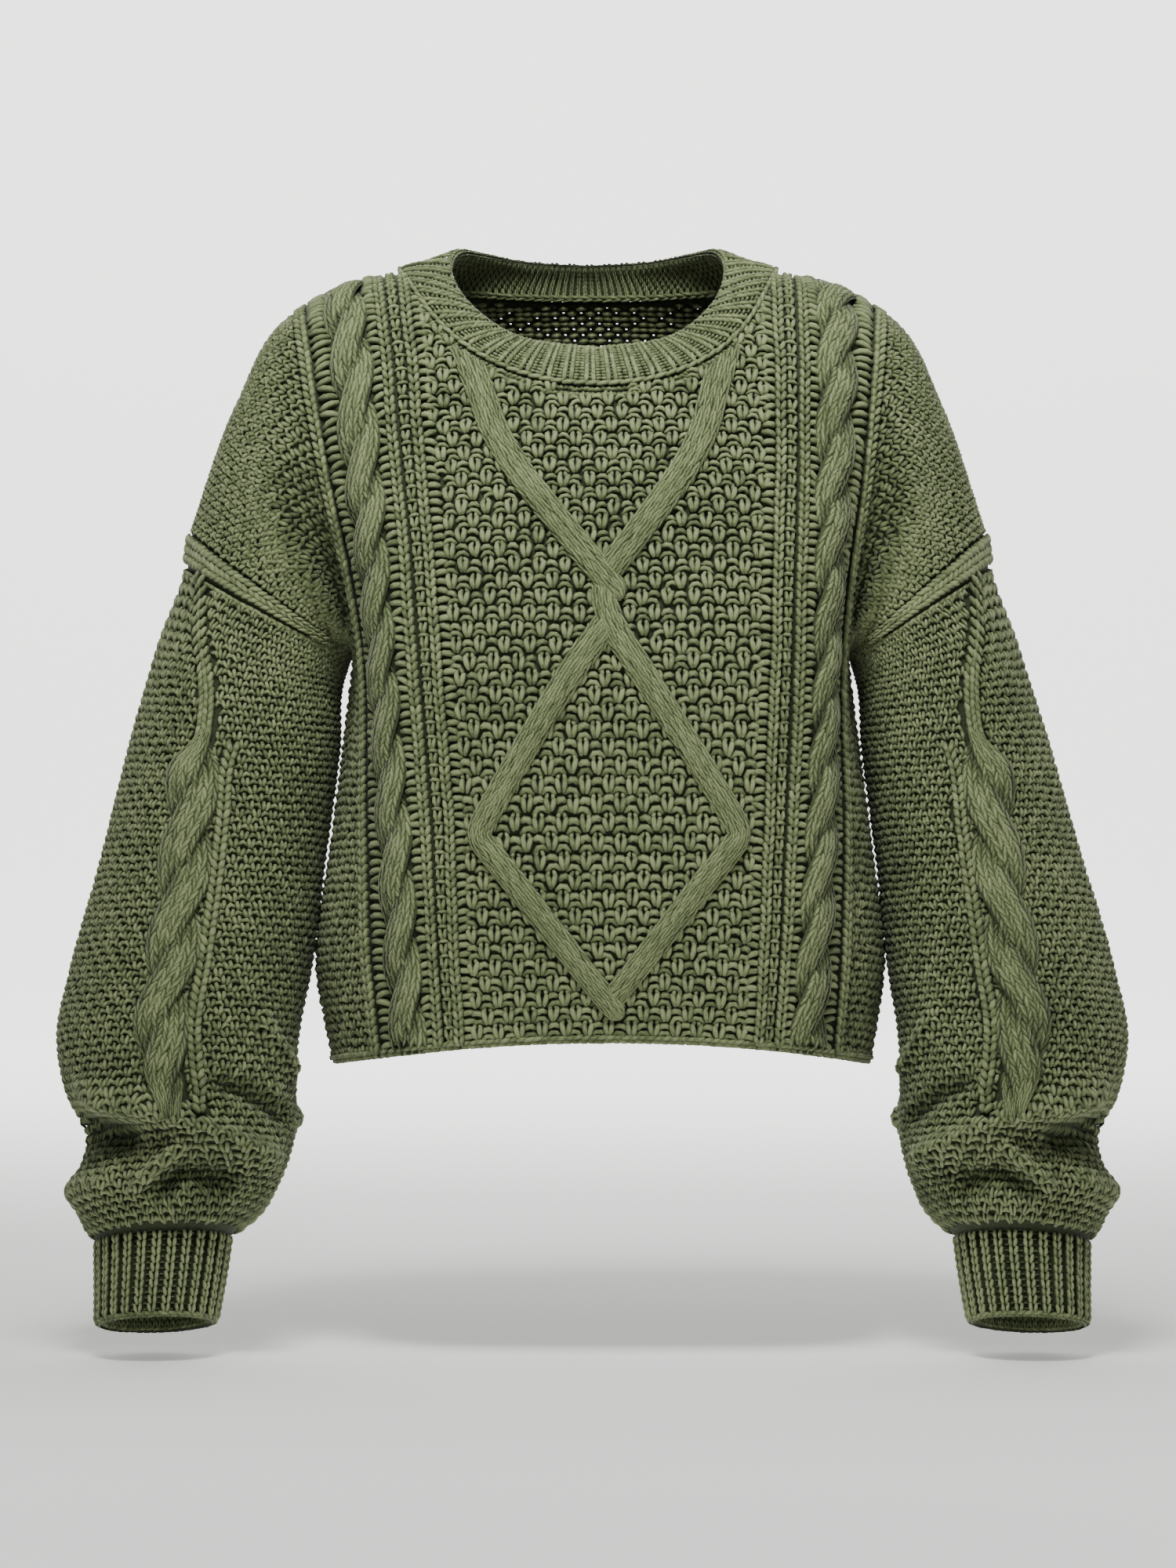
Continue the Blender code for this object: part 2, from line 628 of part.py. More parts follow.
def body_panel(face, name):
    columns = list(MIDDLE_COLUMNS + SIDE_COLUMNS)
    columns += [line + off for line in RIB_LINES for off in (-RIB_HALF, 0, RIB_HALF)]
    columns += [CABLE_LINE + CABLE_HALF * w for w in CABLE_ACROSS]
    outline = outline_of(face, columns, ROWS, NECK_POINTS)
    candidates, lines = panel_candidates(face)
    good = np.flatnonzero(clear_of_neck(face, candidates, EDGE_ROOM))
    kept = good[spaced(candidates[good], outline, LEAST_SPACE)]
    index = {old: new for new, old in enumerate(kept)}
    lines = [(index[a], index[b]) for a, b in lines if a in index and b in index]
    places, faces, loop = triangulate(outline, candidates[kept], lines)
    facing = panel_normals(face, places)
    raised = panel_raise(face, places[:, 0], places[:, 1])
    outer = panel_point(face, places[:, 0], places[:, 1]) + facing * raised[:, None]

    grid = np.array(
        [(sign * c, float(r)) for r in ROWS[1:-1:2] for c in INNER_COLUMNS for sign in (-1, 1)]
    )
    grid = grid[clear_of_neck(face, grid, INNER_ROOM)]
    places, inner_faces, inner_loop = triangulate(outline, grid, [])
    inner = panel_point(face, places[:, 0], places[:, 1]) - panel_normals(face, places) * WALL
    points, faces = two_faced(outer, faces, inner, inner_faces, [(loop, inner_loop)])
    make_object(name, points, faces)


# ---------------------------------------------------------------------------
# Sleeves, cuffs and neckband
# ---------------------------------------------------------------------------
def sleeve_surface(side):
    def surface(angle, length):
        return sleeve_point(side, SLEEVE, angle, length)

    return surface


def sleeve_place(side, angle, length, proud):
    """Points of a sleeve standing proud of its plain surface by a given amount."""
    base = sleeve_point(side, SLEEVE, angle, length)
    facing = normals(sleeve_surface(side), angle, length, -side)
    head, tail = length <= 0, length >= SLEEVE_END
    facing[head] = join_direction(side, angle[head])
    last = np.array(SLEEVE[-1], float)
    axis = section_axis(side, last)
    facing[tail] = unit(facing[tail] - (facing[tail] @ axis)[:, None] * axis)
    base[head] += SEAM * section_axis(side, np.array(SLEEVE[0], float))
    return leant(base) + facing * (fold_height(angle, length) + proud)[:, None]


def section_axis(side, row):
    """The way down the sleeve, square to a section."""
    rise, pitch = np.radians(row[6]), np.radians(row[7])
    across = np.array((side * np.cos(rise), 0.0, np.sin(rise)))
    back = np.array((0.0, np.cos(pitch), -np.sin(pitch)))
    return unit(side * np.cross(back, across))


def tube_mesh(rows, columns, raised, top, bottom, end):
    """Triangles of a tube laid out flat and closed up: (angle, length) of each point, the
    faces, and the loops at its two ends. raised is the points that carry raised work, and
    the lines between them."""
    angles = np.linspace(0, 360, columns + 1)
    outline = [(a / 360 * GIRTH, 0.0) for a in top] + [(GIRTH, r) for r in rows[1:-1]]
    outline += [(a / 360 * GIRTH, end) for a in reversed(bottom)]
    outline += [(0.0, r) for r in reversed(rows[1:-1])]
    raised_points, lines = raised
    plain = [(a / 360 * GIRTH, r) for r in rows[1:-1] for a in angles[1:-1]]
    grid = np.array(raised_points + plain)
    away = np.min([grid[:, 0], GIRTH - grid[:, 0], grid[:, 1], end - grid[:, 1]], axis=0)
    good = np.flatnonzero(away > LEAST_SPACE)
    kept = good[spaced(grid[good], outline, LEAST_SPACE)]
    index = {old: new for new, old in enumerate(kept)}
    lines = [(index[a], index[b]) for a, b in lines if a in index and b in index]
    places, faces, loop = triangulate(outline, grid[kept], lines)
    first = loop[: len(top)]
    last = loop[len(top) + len(rows) - 2 : len(top) + len(rows) - 2 + len(bottom)]
    start_of = {round(places[i][1], 3): i for i in range(len(places)) if places[i][0] < 1e-3}
    same = [
        start_of[round(p[1], 3)] if p[0] > GIRTH - 1e-3 else i for i, p in enumerate(places)
    ]
    faces = [tuple(same[i] for i in f) for f in faces]
    used = sorted(set(i for f in faces for i in f))
    number = {old: new for new, old in enumerate(used)}
    faces = [tuple(number[i] for i in f) for f in faces]
    places = places[used] * np.array((360 / GIRTH, 1.0))
    return places, faces, [number[i] for i in first[:-1]], [number[i] for i in last[1:]]


SLEEVE_ROWS = (0, 3, 9, 12, 28, 48, 70, 92, 114, 136, 158, 180, 202, 224, 246, 266)
SLEEVE_ROWS += (284, 300, 312, 322, 332, 341, 349, 357, 366, 375, 384, 393, 400, 406, 412, 418)
INSIDE_ROWS = (0, 12, 40, 80, 124, 168, 212, 250, 284, 306, 322, 336, 349, 362, 375, 388)
INSIDE_ROWS += (400, 409, 418)
SLEEVE_COLUMNS, INSIDE_COLUMNS = 24, 16
STEM_ROWS = (18, 31, 44, 57, 70, 83)


def sleeve_work():
    """Points along a sleeve's stem and cable laid out flat, and the lines between them."""
    start, end = SLEEVE_CABLE_ENDS
    found = []
    for r in STEM_ROWS:
        for off in (-STEM_HALF, -STEM_TOP, STEM_TOP, STEM_HALF):
            found.append((off, float(r)))
    rope, joins = cable_points(0, SLEEVE_CABLE_HALF, SLEEVE_TURN, -CABLE_LEAN, 0, end - start)
    lines = [(len(found) + a, len(found) + b) for a, b in joins]
    found += [(off, r + start) for off, r in rope]
    found = np.array(found)
    found[:, 0] += cable_line(found[:, 1]) / 360 * GIRTH
    return [tuple(p) for p in found], lines


def sleeve(side, name):
    half = [180 * (1 - r / UNDERARM) for r in reversed(ROWS) if r <= UNDERARM]
    head = half + [360 - a for a in reversed(half[:-1])]
    foot = list(np.linspace(0, 360, SLEEVE_COLUMNS + 1))
    places, faces, first, last = tube_mesh(
        SLEEVE_ROWS, SLEEVE_COLUMNS, sleeve_work(), head, foot, SLEEVE_END
    )
    angle, length = places[:, 0], places[:, 1]
    outer = sleeve_place(side, angle, length, sleeve_raise(angle, length))
    places, inner_faces, inner_first, inner_last = tube_mesh(
        INSIDE_ROWS, INSIDE_COLUMNS, ([], []), head, foot, SLEEVE_END
    )
    angle, length = places[:, 0], places[:, 1]
    inner = sleeve_place(side, angle, length, np.full(len(angle), -WALL))
    rims = [(first, inner_first), (last, inner_last)]
    points, faces = two_faced(outer, faces, inner, inner_faces, rims)
    make_object(name, points, faces)


def ribbed_ring(name, outer_rows, inner_rows):
    """A ribbed tube from rings of points: the outer rows have several points for each rib,
    crest first, and the inner rows one, behind each rib's first point."""
    ribs = len(inner_rows[0])
    around = len(outer_rows[0])
    per_rib = around // ribs
    faces = []
    for r in range(len(outer_rows) - 1):
        for c in range(around):
            a, b = r * around + c, r * around + (c + 1) % around
            faces += [(a, b, b + around), (a, b + around, a + around)]
    base = len(outer_rows) * around
    for r in range(len(inner_rows) - 1):
        for c in range(ribs):
            a, b = base + r * ribs + c, base + r * ribs + (c + 1) % ribs
            faces += [(b, a, a + ribs), (b, a + ribs, b + ribs)]
    for outer_start, inner_start in (
        (0, base),
        ((len(outer_rows) - 1) * around, base + (len(inner_rows) - 1) * ribs),
    ):
        for c in range(ribs):
            p, q = inner_start + c, inner_start + (c + 1) % ribs
            turn = [outer_start + (per_rib * c + k) % around for k in range(per_rib + 1)]
            half = (per_rib + 1) // 2
            faces += [(a, b, p) for a, b in zip(turn[:half], turn[1 : half + 1])]
            faces += [(turn[half], q, p)]
            faces += [(a, b, q) for a, b in zip(turn[half:], turn[half + 1 :])]
    points = np.vstack(list(outer_rows) + list(inner_rows))
    make_object(name, points, faces)


def cuff(side, name):
    crest = np.tile(CUFF_RIB, CUFF_RIBS)
    angle = np.arange(len(crest)) * 360 / len(crest)
    axis = section_axis(side, np.array(CUFF[0], float))

    def ring(at, length, proud):
        row = np.full(len(at), float(length))
        base = sleeve_point(side, CUFF, at, row)
        facing = normals(lambda a, b: sleeve_point(side, CUFF, a, b), at, row, -side)
        facing = unit(facing - (facing @ axis)[:, None] * axis)
        drop = SEAM * axis * (length == 0)
        return leant(base + facing * proud[:, None] + drop)

    outer = [
        ring(angle, 0, crest * 0.6 * CUFF_RIB_RAISE),
        ring(angle, CUFF_END / 2, crest * CUFF_RIB_RAISE),
        ring(angle, CUFF_END, crest * CUFF_RIB_RAISE),
    ]
    behind = angle[:: len(CUFF_RIB)]
    inner = [ring(behind, r, np.full(CUFF_RIBS, -WALL)) for r in (0, CUFF_END)]
    ribbed_ring(name, outer, inner)


def neckband():
    half = NECKBAND_RIBS // 2
    seam, facing = [], []
    for face, count in ((FRONT, half + 3), (BACK, half - 3)):
        curve = neck_curve(face, len(NECKBAND_RIB) * count + 1)
        if face == BACK:
            curve = curve[::-1]
        places = curve[:-1]
        seam.append(panel_point(face, places[:, 0], places[:, 1]))
        facing.append(panel_normals(face, places))
    seam, facing = np.vstack(seam), np.vstack(facing)
    facing = unit(facing + np.roll(facing, 1, axis=0) + np.roll(facing, -1, axis=0))
    shift = leant(seam) - seam
    middle = seam[:, 0] - shift[:, 0]
    plan = np.degrees(
        np.arctan2(
            np.abs(middle) / NECK_OUT,
            -seam[:, 1] / np.where(seam[:, 1] < 0, NECK_FRONT, NECK_BACK),
        )
    )
    turn = np.radians(plan)
    deep = np.where(plan < 90, COLLAR_FRONT, COLLAR_BACK)
    top = np.stack(
        [
            np.sign(middle) * COLLAR_OUT * np.sin(turn),
            -deep * np.cos(turn),
            smooth(COLLAR_ANGLE, COLLAR_HEIGHT, plan)[:, 0],
        ],
        axis=1,
    )
    top = leant(top)
    rise = top - seam
    inward = unit(rise - np.sum(rise * facing, axis=1, keepdims=True) * facing)
    low = seam + SEAM * inward
    around = unit(np.roll(seam, -1, axis=0) - np.roll(seam, 1, axis=0))
    band_facing = unit(np.cross(rise, around))
    band_facing *= np.sign(np.sum(band_facing * facing, axis=1, keepdims=True))
    crest = np.tile(NECKBAND_RIB, NECKBAND_RIBS)[:, None] * BAND_RIB_RAISE
    middle_line = low + 0.5 * (top - low) + band_facing * NECKBAND_SWELL
    outer = [
        low + facing * crest * 0.5,
        middle_line + band_facing * crest,
        top + band_facing * crest * 0.7,
    ]
    inner = [
        (low - facing * WALL)[:: len(NECKBAND_RIB)],
        (top - band_facing * WALL)[:: len(NECKBAND_RIB)],
    ]
    ribbed_ring("neckband", outer, inner)


def main():
    for old in list(bpy.data.objects):
        bpy.data.objects.remove(old, do_unlink=True)
    body_panel(FRONT, "front")
    body_panel(BACK, "back")
    neckband()
    for side, word in ((LEFT, "left"), (RIGHT, "right")):
        sleeve(side, "sleeve_" + word)
        cuff(side, "cuff_" + word)


main()
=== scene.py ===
"""Looks of a cropped cable-knit sweater: every stitch laid on the garment's own cloth.

The cloth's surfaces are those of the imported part. Sizes are millimetres, and become
metres when a mesh is made. The front faces -Y, and left is -X, as the front view shows it.
"""

import math

import bpy
import numpy as np
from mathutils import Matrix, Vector


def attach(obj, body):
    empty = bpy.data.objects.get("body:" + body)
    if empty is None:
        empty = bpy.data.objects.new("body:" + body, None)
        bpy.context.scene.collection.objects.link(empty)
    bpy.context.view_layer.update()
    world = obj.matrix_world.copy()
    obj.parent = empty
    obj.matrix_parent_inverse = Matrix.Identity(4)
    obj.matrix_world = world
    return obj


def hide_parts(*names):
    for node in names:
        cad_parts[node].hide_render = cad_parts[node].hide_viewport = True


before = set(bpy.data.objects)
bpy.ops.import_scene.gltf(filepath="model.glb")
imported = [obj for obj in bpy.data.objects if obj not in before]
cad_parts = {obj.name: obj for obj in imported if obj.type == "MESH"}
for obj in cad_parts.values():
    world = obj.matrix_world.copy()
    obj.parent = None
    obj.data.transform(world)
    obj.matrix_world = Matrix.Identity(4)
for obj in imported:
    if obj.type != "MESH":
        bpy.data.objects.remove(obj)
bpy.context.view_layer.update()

MM = 0.001
WALL = 4.0
SEAM = 0.3
FRONT, BACK = -1, 1
LEFT, RIGHT = -1, 1
STEP = 0.4  # how far to each side a surface's slopes are measured
rng = np.random.default_rng(11)

# The cloth's surfaces, as the part has them. The body has one row for each section down the
# cloth, and one column for each line of stitches from the middle to the side. The edge
# column is the armhole down to the underarm, and the side seam below it.
#          shoulder yoke  neck  chest bust underarm waist  hip  hem
LENGTH = (0, 48, 106, 164, 222, 276, 398, 466, 530)
#        middle ladder cable fold  cap  edge
ACROSS = (0, 112, 142, 172, 240, 310)
UNDERARM = 276.0
HEM = 530.0
EDGE = 310.0

OUT = (
    (0, 127, 155, 189, 225, 253),
    (0, 125, 154, 187, 222, 247),
    (0, 122, 150, 181, 212, 223),
    (0, 119, 146, 172, 199, 192),
    (0, 115, 142, 160, 170, 167),
    (0, 112, 139, 152, 157, 158),
    (0, 105, 132, 153, 167, 173),
    (0, 102, 127, 152, 173, 182),
    (0, 98, 122, 146, 165, 172),
)
FRONT_DEPTH = (
    (20, 0, 0, 0, 0, 0),
    (-52, -46, -43, -40, -36, -32),
    (-84, -79, -73, -64, -56, -58),
    (-103, -95, -86, -70, -66, -59),
    (-115, -104, -92, -58, -56, -36),
    (-120, -106, -88, -52, -26, 0),
    (-118, -107, -92, -63, -33, 0),
    (-117, -108, -96, -70, -38, 0),
    (-113, -104, -94, -70, -38, 0),
)
BACK_DEPTH = (
    (20, 0, 0, 0, 0, 0),
    (74, 47, 43, 40, 36, 32),
    (102, 85, 76, 66, 57, 58),
    (112, 98, 86, 71, 66, 59),
    (115, 102, 88, 56, 55, 36),
    (114, 100, 82, 50, 25, 0),
    (110, 98, 84, 58, 32, 0),
    (108, 97, 85, 62, 35, 0),
    (105, 95, 83, 62, 34, 0),
)
FRONT_HEIGHT = (
    (14, 1, -6, -24, -82, -165),
    (-8, -14, -21, -37, -92, -171),
    (-58, -62, -68, -82, -121, -190),
    (-118, -122, -128, -138, -160, -215),
    (-178, -180, -184, -189, -212, -235),
    (-236, -236, -237, -238, -240, -242),
    (-356, -357, -358, -360, -362, -364),
    (-424, -426, -428, -431, -434, -437),
    (-484, -489, -492, -496, -500, -503),
)
BACK_HEIGHT = (
    (22, 1, -6, -24, -82, -165),
    (-2, -12, -20, -37, -92, -171),
    (-55, -62, -68, -82, -121, -190),
    (-112, -121, -128, -138, -160, -215),
    (-172, -179, -184, -189, -212, -235),
    (-232, -235, -237, -238, -240, -242),
    (-355, -357, -358, -360, -362, -364),
    (-425, -427, -428, -431, -434, -437),
    (-492, -494, -496, -499, -501, -503),
)

# The armhole is an ellipse in a plane that slopes down towards the body.
ARMHOLE_OUT, ARMHOLE_HEIGHT = 205.75, -203.5
ARMHOLE_REACH, ARMHOLE_DEPTH = 61.4, 62.0
ARMHOLE_RISE = 38.9  # degrees

# The neck opening, as the deepest point down each panel and the width on the shoulder.
NECK_HALF_WIDTH = 105.0
NECK_DROP = {FRONT: 125.0, BACK: 57.0}
NECK_POWER = {FRONT: 2.4, BACK: 2.7}

# The cloth hangs a little to one side: how far, by height, in the middle of the body.
LEAN_HEIGHT = (-620, -504, -350, -240, -160, -60, 0, 30)
LEAN = (8, 13, 13, 11, 9, 5, 0, 0)
LEAN_FULL, LEAN_NONE = 110.0, 250.0  # distances from the middle
ARM_LEAN_HEIGHT = (-400, -250)
ARM_LEAN = (2.7, 0)

# What is raised on the panels
RIB_LINES = (104.0, 120.0, 167.0)
LADDER_LINE = 112.0
GUTTERS = ((97.5, 5.2), (126.8, 5.6), (158.2, 6.2))  # (line, half the width of a purl bump)
RIB_HALF, RIB_RAISE = 3.5, 2.2
CABLE_LINE, CABLE_HALF, CABLE_RAISE = 142.0, 14.0, 7.0
CABLE_TURN = 41.5  # length of one crossing
BAND_HALF, BAND_RAISE = 8.3, 4.7
# Routes of the raised bands, as (across, length). Those that are tucked under another band
# reach on beneath it.
UPPER_ARM = ((74.5, 95), (66, 128), (56, 164), (28, 206), (0, 240), (-11, 253))
DIAMOND_SIDE = ((21, 294), (60, 356), (80, 387), (86, 398), (80, 406), (48, 444), (10, 492))

# The sleeve: sections from the armhole to the cuff. rise is how far the outer end of a
# section is turned up, pitch how far its front is turned up, both in degrees.
#   length  out   depth height half_w half_d rise pitch
SLEEVE = (
    (0, 205.75, 0, -203.5, 61.4, 62, 38.9, 0),
    (14, 208.2, 0, -217, 56.9, 62.3, 31, 0),
    (48, 219.1, -1, -249, 56.6, 64, 12, 1),
    (100, 229.2, -3, -300, 63.1, 66, 3, 2),
    (170, 242.9, -6, -369, 68.0, 69, 1, 4),
    (246, 257.7, -11, -444, 74.2, 74, 0, 6),
    (290, 265.0, -16, -487, 74.5, 76, 0, 8),
    (323, 262.5, -21, -520, 71, 74, 0, 9),
    (351, 256.5, -26, -548, 65, 68, -1, 10),
    (384, 262.0, -33, -580, 62, 66, -3, 12),
    (405, 266.0, -38, -600, 55, 57, -4, 13),
    (418, 270.2, -41, -612, 43.2, 43.5, -3, 13),
)
SLEEVE_END = 418.0
#   length  out   depth height half_w half_d rise pitch
CUFF = (
    (0, 270.2, -41, -612, 41.5, 42.0, -3, 13),
    (26, 271.6, -48, -638, 39.2, 40.0, -2, 14),
    (52, 273.4, -55, -663, 36.8, 38.0, -2, 14),
)
CUFF_END = 52.0
GIRTH = 440.0  # a mean distance round the sleeve

JOIN_RAISE = 3.0  # the raised band where a sleeve joins the body
JOIN_PLAIN = 40.0  # degrees to each side of the underarm without it
STEM_HALF, STEM_RAISE = 5.5, 3.0  # the narrow band between it and the cable
SLEEVE_CABLE_HALF, SLEEVE_CABLE_RAISE, SLEEVE_TURN = 17.0, 8.0, 52.0
SLEEVE_CABLE_ENDS = (96.0, 340.0)
# The cable's middle line: angle round the sleeve from the underarm, by length.
CABLE_ROUTE_LENGTH = (0, 30, 57, 88, 120, 148, 250, 418)
CABLE_ROUTE_ANGLE = (144, 126, 109, 102, 103, 100, 93, 92)

# Folds above the cuff: (angle, length) of each point along, half width and rise.
FOLD_STAND = 1.35  # how much higher the yarn's folds stand
FOLDS = (
    ((160, 322), (104, 340), (60, 362), (8, 378), 9.5, 11.5),
    ((104, 398), (80, 382), (44, 392), 8.5, -8.5),
    ((188, 345), (146, 351), (104, 360), 8.0, -10.0),
    ((92, 352), (88, 366), (100, 381), (116, 396), 6.5, 6.0),
    ((208, 384), (160, 384), (108, 386), 10.0, 6.5),
    ((74, 320), (46, 331), (10, 348), 7.0, -6.0),
    ((52, 272), (28, 300), (4, 318), 7.0, 5.0),
    ((184, 347), (232, 344), (284, 352), 9.0, -9.0),
    ((214, 376), (262, 370), (325, 384), 11.0, 8.0),
    ((356, 340), (325, 334), (290, 318), 9.0, 6.0),
    ((190, 316), (230, 306), (262, 312), 8.0, 4.0),
)

NECKBAND_RIBS, CUFF_RIBS = 50, 28
RIB_POINTS = 5  # places on the neck's edge for each rib
BAND_RIB_RAISE, CUFF_RIB_RAISE = 2.2, 2.4
NECKBAND_SWELL = 2.5
# The neckband's top edge: an ellipse in plan, its height by angle round from the front.
COLLAR_OUT, COLLAR_FRONT, COLLAR_BACK = 87.0, 78.0, 75.0
COLLAR_ANGLE = (0, 34, 60, 90, 110, 131, 150, 180)
COLLAR_HEIGHT = (-54, -45, -24, 6, 18, 18, 15, 13)
NECK_OUT, NECK_FRONT, NECK_BACK = 119.0, 91.0, 84.0


# Curves
def smooth(knots, values, at):
    """A smooth curve through values at knots, read at each place. With a leading axis on
    values, each place reads its own curve."""
    knots = np.asarray(knots, float)
    values = np.asarray(values, float)
    at = np.clip(np.asarray(at, float), knots[0], knots[-1])
    shared = values.ndim < 3
    if values.ndim == 1:
        values = values[:, None]
    slopes = np.gradient(values, knots, axis=-2)
    i = np.clip(np.searchsorted(knots, at, side="right") - 1, 0, len(knots) - 2)
    pick = (i,) if shared else (np.arange(len(at)), i)
    after = (i + 1,) if shared else (np.arange(len(at)), i + 1)
    span = (knots[i + 1] - knots[i])[:, None]
    f = (at - knots[i])[:, None] / span
    return (
        (1 + 2 * f) * (1 - f) ** 2 * values[pick]
        + f * (1 - f) ** 2 * span * slopes[pick]
        + f**2 * (3 - 2 * f) * values[after]
        + f**2 * (f - 1) * span * slopes[after]
    )


def smooth_step(x):
    x = np.clip(x, 0, 1)
    return x * x * (3 - 2 * x)


def same(number, like):
    """One number for each place of an array."""
    return np.full(len(like), number)


def grid(rows, columns):
    """Every pair from two lists, as two flat arrays."""
    return (g.ravel() for g in np.meshgrid(rows, columns, indexing="ij"))


def leant(points):
    """The cloth hung a little to one side, more in the middle than out on the arms."""
    reach = smooth_step((np.abs(points[:, 0]) - LEAN_FULL) / (LEAN_NONE - LEAN_FULL))
    shift = np.interp(points[:, 2], LEAN_HEIGHT, LEAN) * (1 - reach)
    shift += np.interp(points[:, 2], ARM_LEAN_HEIGHT, ARM_LEAN) * reach
    return points + shift[:, None] * np.array((1.0, 0.0, 0.0))


def unit(vectors):
    return vectors / np.maximum(np.linalg.norm(vectors, axis=-1, keepdims=True), 1e-9)


def square_to(vectors, ways):
    """Unit vectors, with what they have along other unit vectors taken out."""
    return unit(vectors - np.sum(vectors * ways, axis=1, keepdims=True) * ways)


def walk(line):
    """How far along a line each of its points lies."""
    return np.concatenate([[0], np.cumsum(np.linalg.norm(np.diff(line, axis=0), axis=1))])


def from_underarm(angle):
    """Degrees round a sleeve from the underarm, to either side."""
    return np.abs((np.asarray(angle) + 180) % 360 - 180)


def distance_to_route(points, route):
    """How far each point lies from a route of straight runs, and how far along it is nearest."""
    nearest = np.full(len(points), np.inf)
    along = np.zeros(len(points))
    done = 0.0
    for start, end in zip(np.array(route[:-1], float), np.array(route[1:], float)):
        run = end - start
        length = np.linalg.norm(run)
        f = np.clip((points - start) @ run / length**2, 0, 1)
        gap = np.linalg.norm(points - start - f[:, None] * run, axis=1)
        closer = gap < nearest
        nearest = np.where(closer, gap, nearest)
        along = np.where(closer, done + f * length, along)
        done += length
    return nearest, along


# The cloth's own surfaces
def armhole(side_of_panel, angle):
    """Points of the armhole, by angle from its outer tip, on the mirrored right arm."""
    turn = np.radians(angle)
    rise = np.radians(ARMHOLE_RISE)
    out = ARMHOLE_OUT + ARMHOLE_REACH * np.cos(turn) * np.cos(rise)
    height = ARMHOLE_HEIGHT + ARMHOLE_REACH * np.cos(turn) * np.sin(rise)
    return np.stack([out, side_of_panel * ARMHOLE_DEPTH * np.sin(turn), height], axis=1)


def panel_table(face):
    depth, height = (FRONT_DEPTH, FRONT_HEIGHT) if face == FRONT else (BACK_DEPTH, BACK_HEIGHT)
    return np.stack([np.array(OUT), np.array(depth), np.array(height)], axis=2).astype(float)


def panel_point(face, across, length):
    """Points of a body panel's outer face, by stitches across and down its cloth."""
    table = panel_table(face)
    rows, columns, _ = table.shape
    stations = smooth(LENGTH, table.reshape(rows, -1), length).reshape(-1, columns, 3)
    below = LENGTH.index(int(UNDERARM))
    seam = smooth(LENGTH[below:], table[below:, -1], np.maximum(length, UNDERARM))
    ring = armhole(face, 180 * np.minimum(length, UNDERARM) / UNDERARM)
    stations[:, -1] = np.where((length < UNDERARM)[:, None], ring, seam)
    mirrored = stations[:, :0:-1] * np.array((-1.0, 1.0, 1.0))
    knots = [-a for a in ACROSS[:0:-1]] + list(ACROSS)
    points = smooth(knots, np.concatenate([mirrored, stations], axis=1), across)
    points[:, 1] += face * SEAM / 2
    return leant(points)


def sleeve_point(side, table, angle, length):
    """Points of a sleeve or cuff, by angle round it from the underarm through the front."""
    rows = np.array(table, float)
    row = smooth(rows[:, 0], rows[:, 1:], length)
    turn, rise, pitch = np.radians(angle), np.radians(row[:, 5]), np.radians(row[:, 6])
    outward = -row[:, 3] * np.cos(turn)
    forward = row[:, 4] * np.sin(turn)
    out = row[:, 0] + outward * np.cos(rise)
    depth = row[:, 1] - forward * np.cos(pitch)
    height = row[:, 2] + outward * np.sin(rise) + forward * np.sin(pitch)
    return np.stack([side * out, depth, height], axis=1)


def normals(surface, a, b, flip):
    """Unit normals of a surface of two parameters, by small steps to each side."""
    along = surface(a + STEP, b) - surface(a - STEP, b)
    down = surface(a, b + STEP) - surface(a, b - STEP)
    return unit(flip * np.cross(along, down))


def join_direction(side, angle):
    """The way a wall faces at the armhole, by angle from the underarm through the front."""
    turn, rise = np.radians(angle), np.radians(ARMHOLE_RISE)
    radial = np.stack(
        [-side * np.cos(turn) * np.cos(rise), -np.sin(turn), -np.cos(turn) * np.sin(rise)], axis=1
    )
    crotch = (1 - smooth_step(from_underarm(angle) / 60))[:, None]
    return unit(radial * (1 - crotch) + np.array((0.0, 0.0, -1.0)) * crotch)


# Raised work
def ridge_height(distance, half, top, raise_by):
    return raise_by * np.clip((half - distance) / (half - top), 0, 1)


def mirrored_route(route):
    return tuple((-across, length) for across, length in route)


def band_routes():
    """Every raised band of the front, those that pass over at a crossing first, and which of
    their ends are tucked under something."""
    left = mirrored_route(DIAMOND_SIDE)
    return (
        (mirrored_route(UPPER_ARM), (True, False)),
        (((0, 240), (0, 262)) + DIAMOND_SIDE + ((0, 504),), (True, True)),
        (((4, 262), (-8, 278)) + left + ((9, 514),), (True, False)),
        (UPPER_ARM[:-1], (True, True)),
    )


def cable_line(length):
    return smooth(CABLE_ROUTE_LENGTH, CABLE_ROUTE_ANGLE, length)[:, 0]


def fold_height(angle, length):
    """The folds above the cuff, as soft ridges and troughs that fade at their ends."""
    at = np.stack([angle / 360 * GIRTH, length], axis=1)
    height = np.zeros(len(at))
    for *route, half, rise in FOLDS:
        route = [(a / 360 * GIRTH, b) for a, b in route]
        gap, along = distance_to_route(at, route)
        whole = distance_to_route(np.array(route[-1:]), route)[1][0]
        ends = smooth_step(along / (0.25 * whole)) * smooth_step((whole - along) / (0.25 * whole))
        height += rise * np.exp(-((gap / half) ** 2)) * ends
    return FOLD_STAND * height * smooth_step((SLEEVE_END - length) / 16)


def neck_length(face, across):
    """How far down a panel its neck edge lies."""
    power = NECK_POWER[face]
    share = np.clip(np.abs(across) / NECK_HALF_WIDTH, 0, 1)
    return NECK_DROP[face] * (1 - share**power) ** (1 / power)


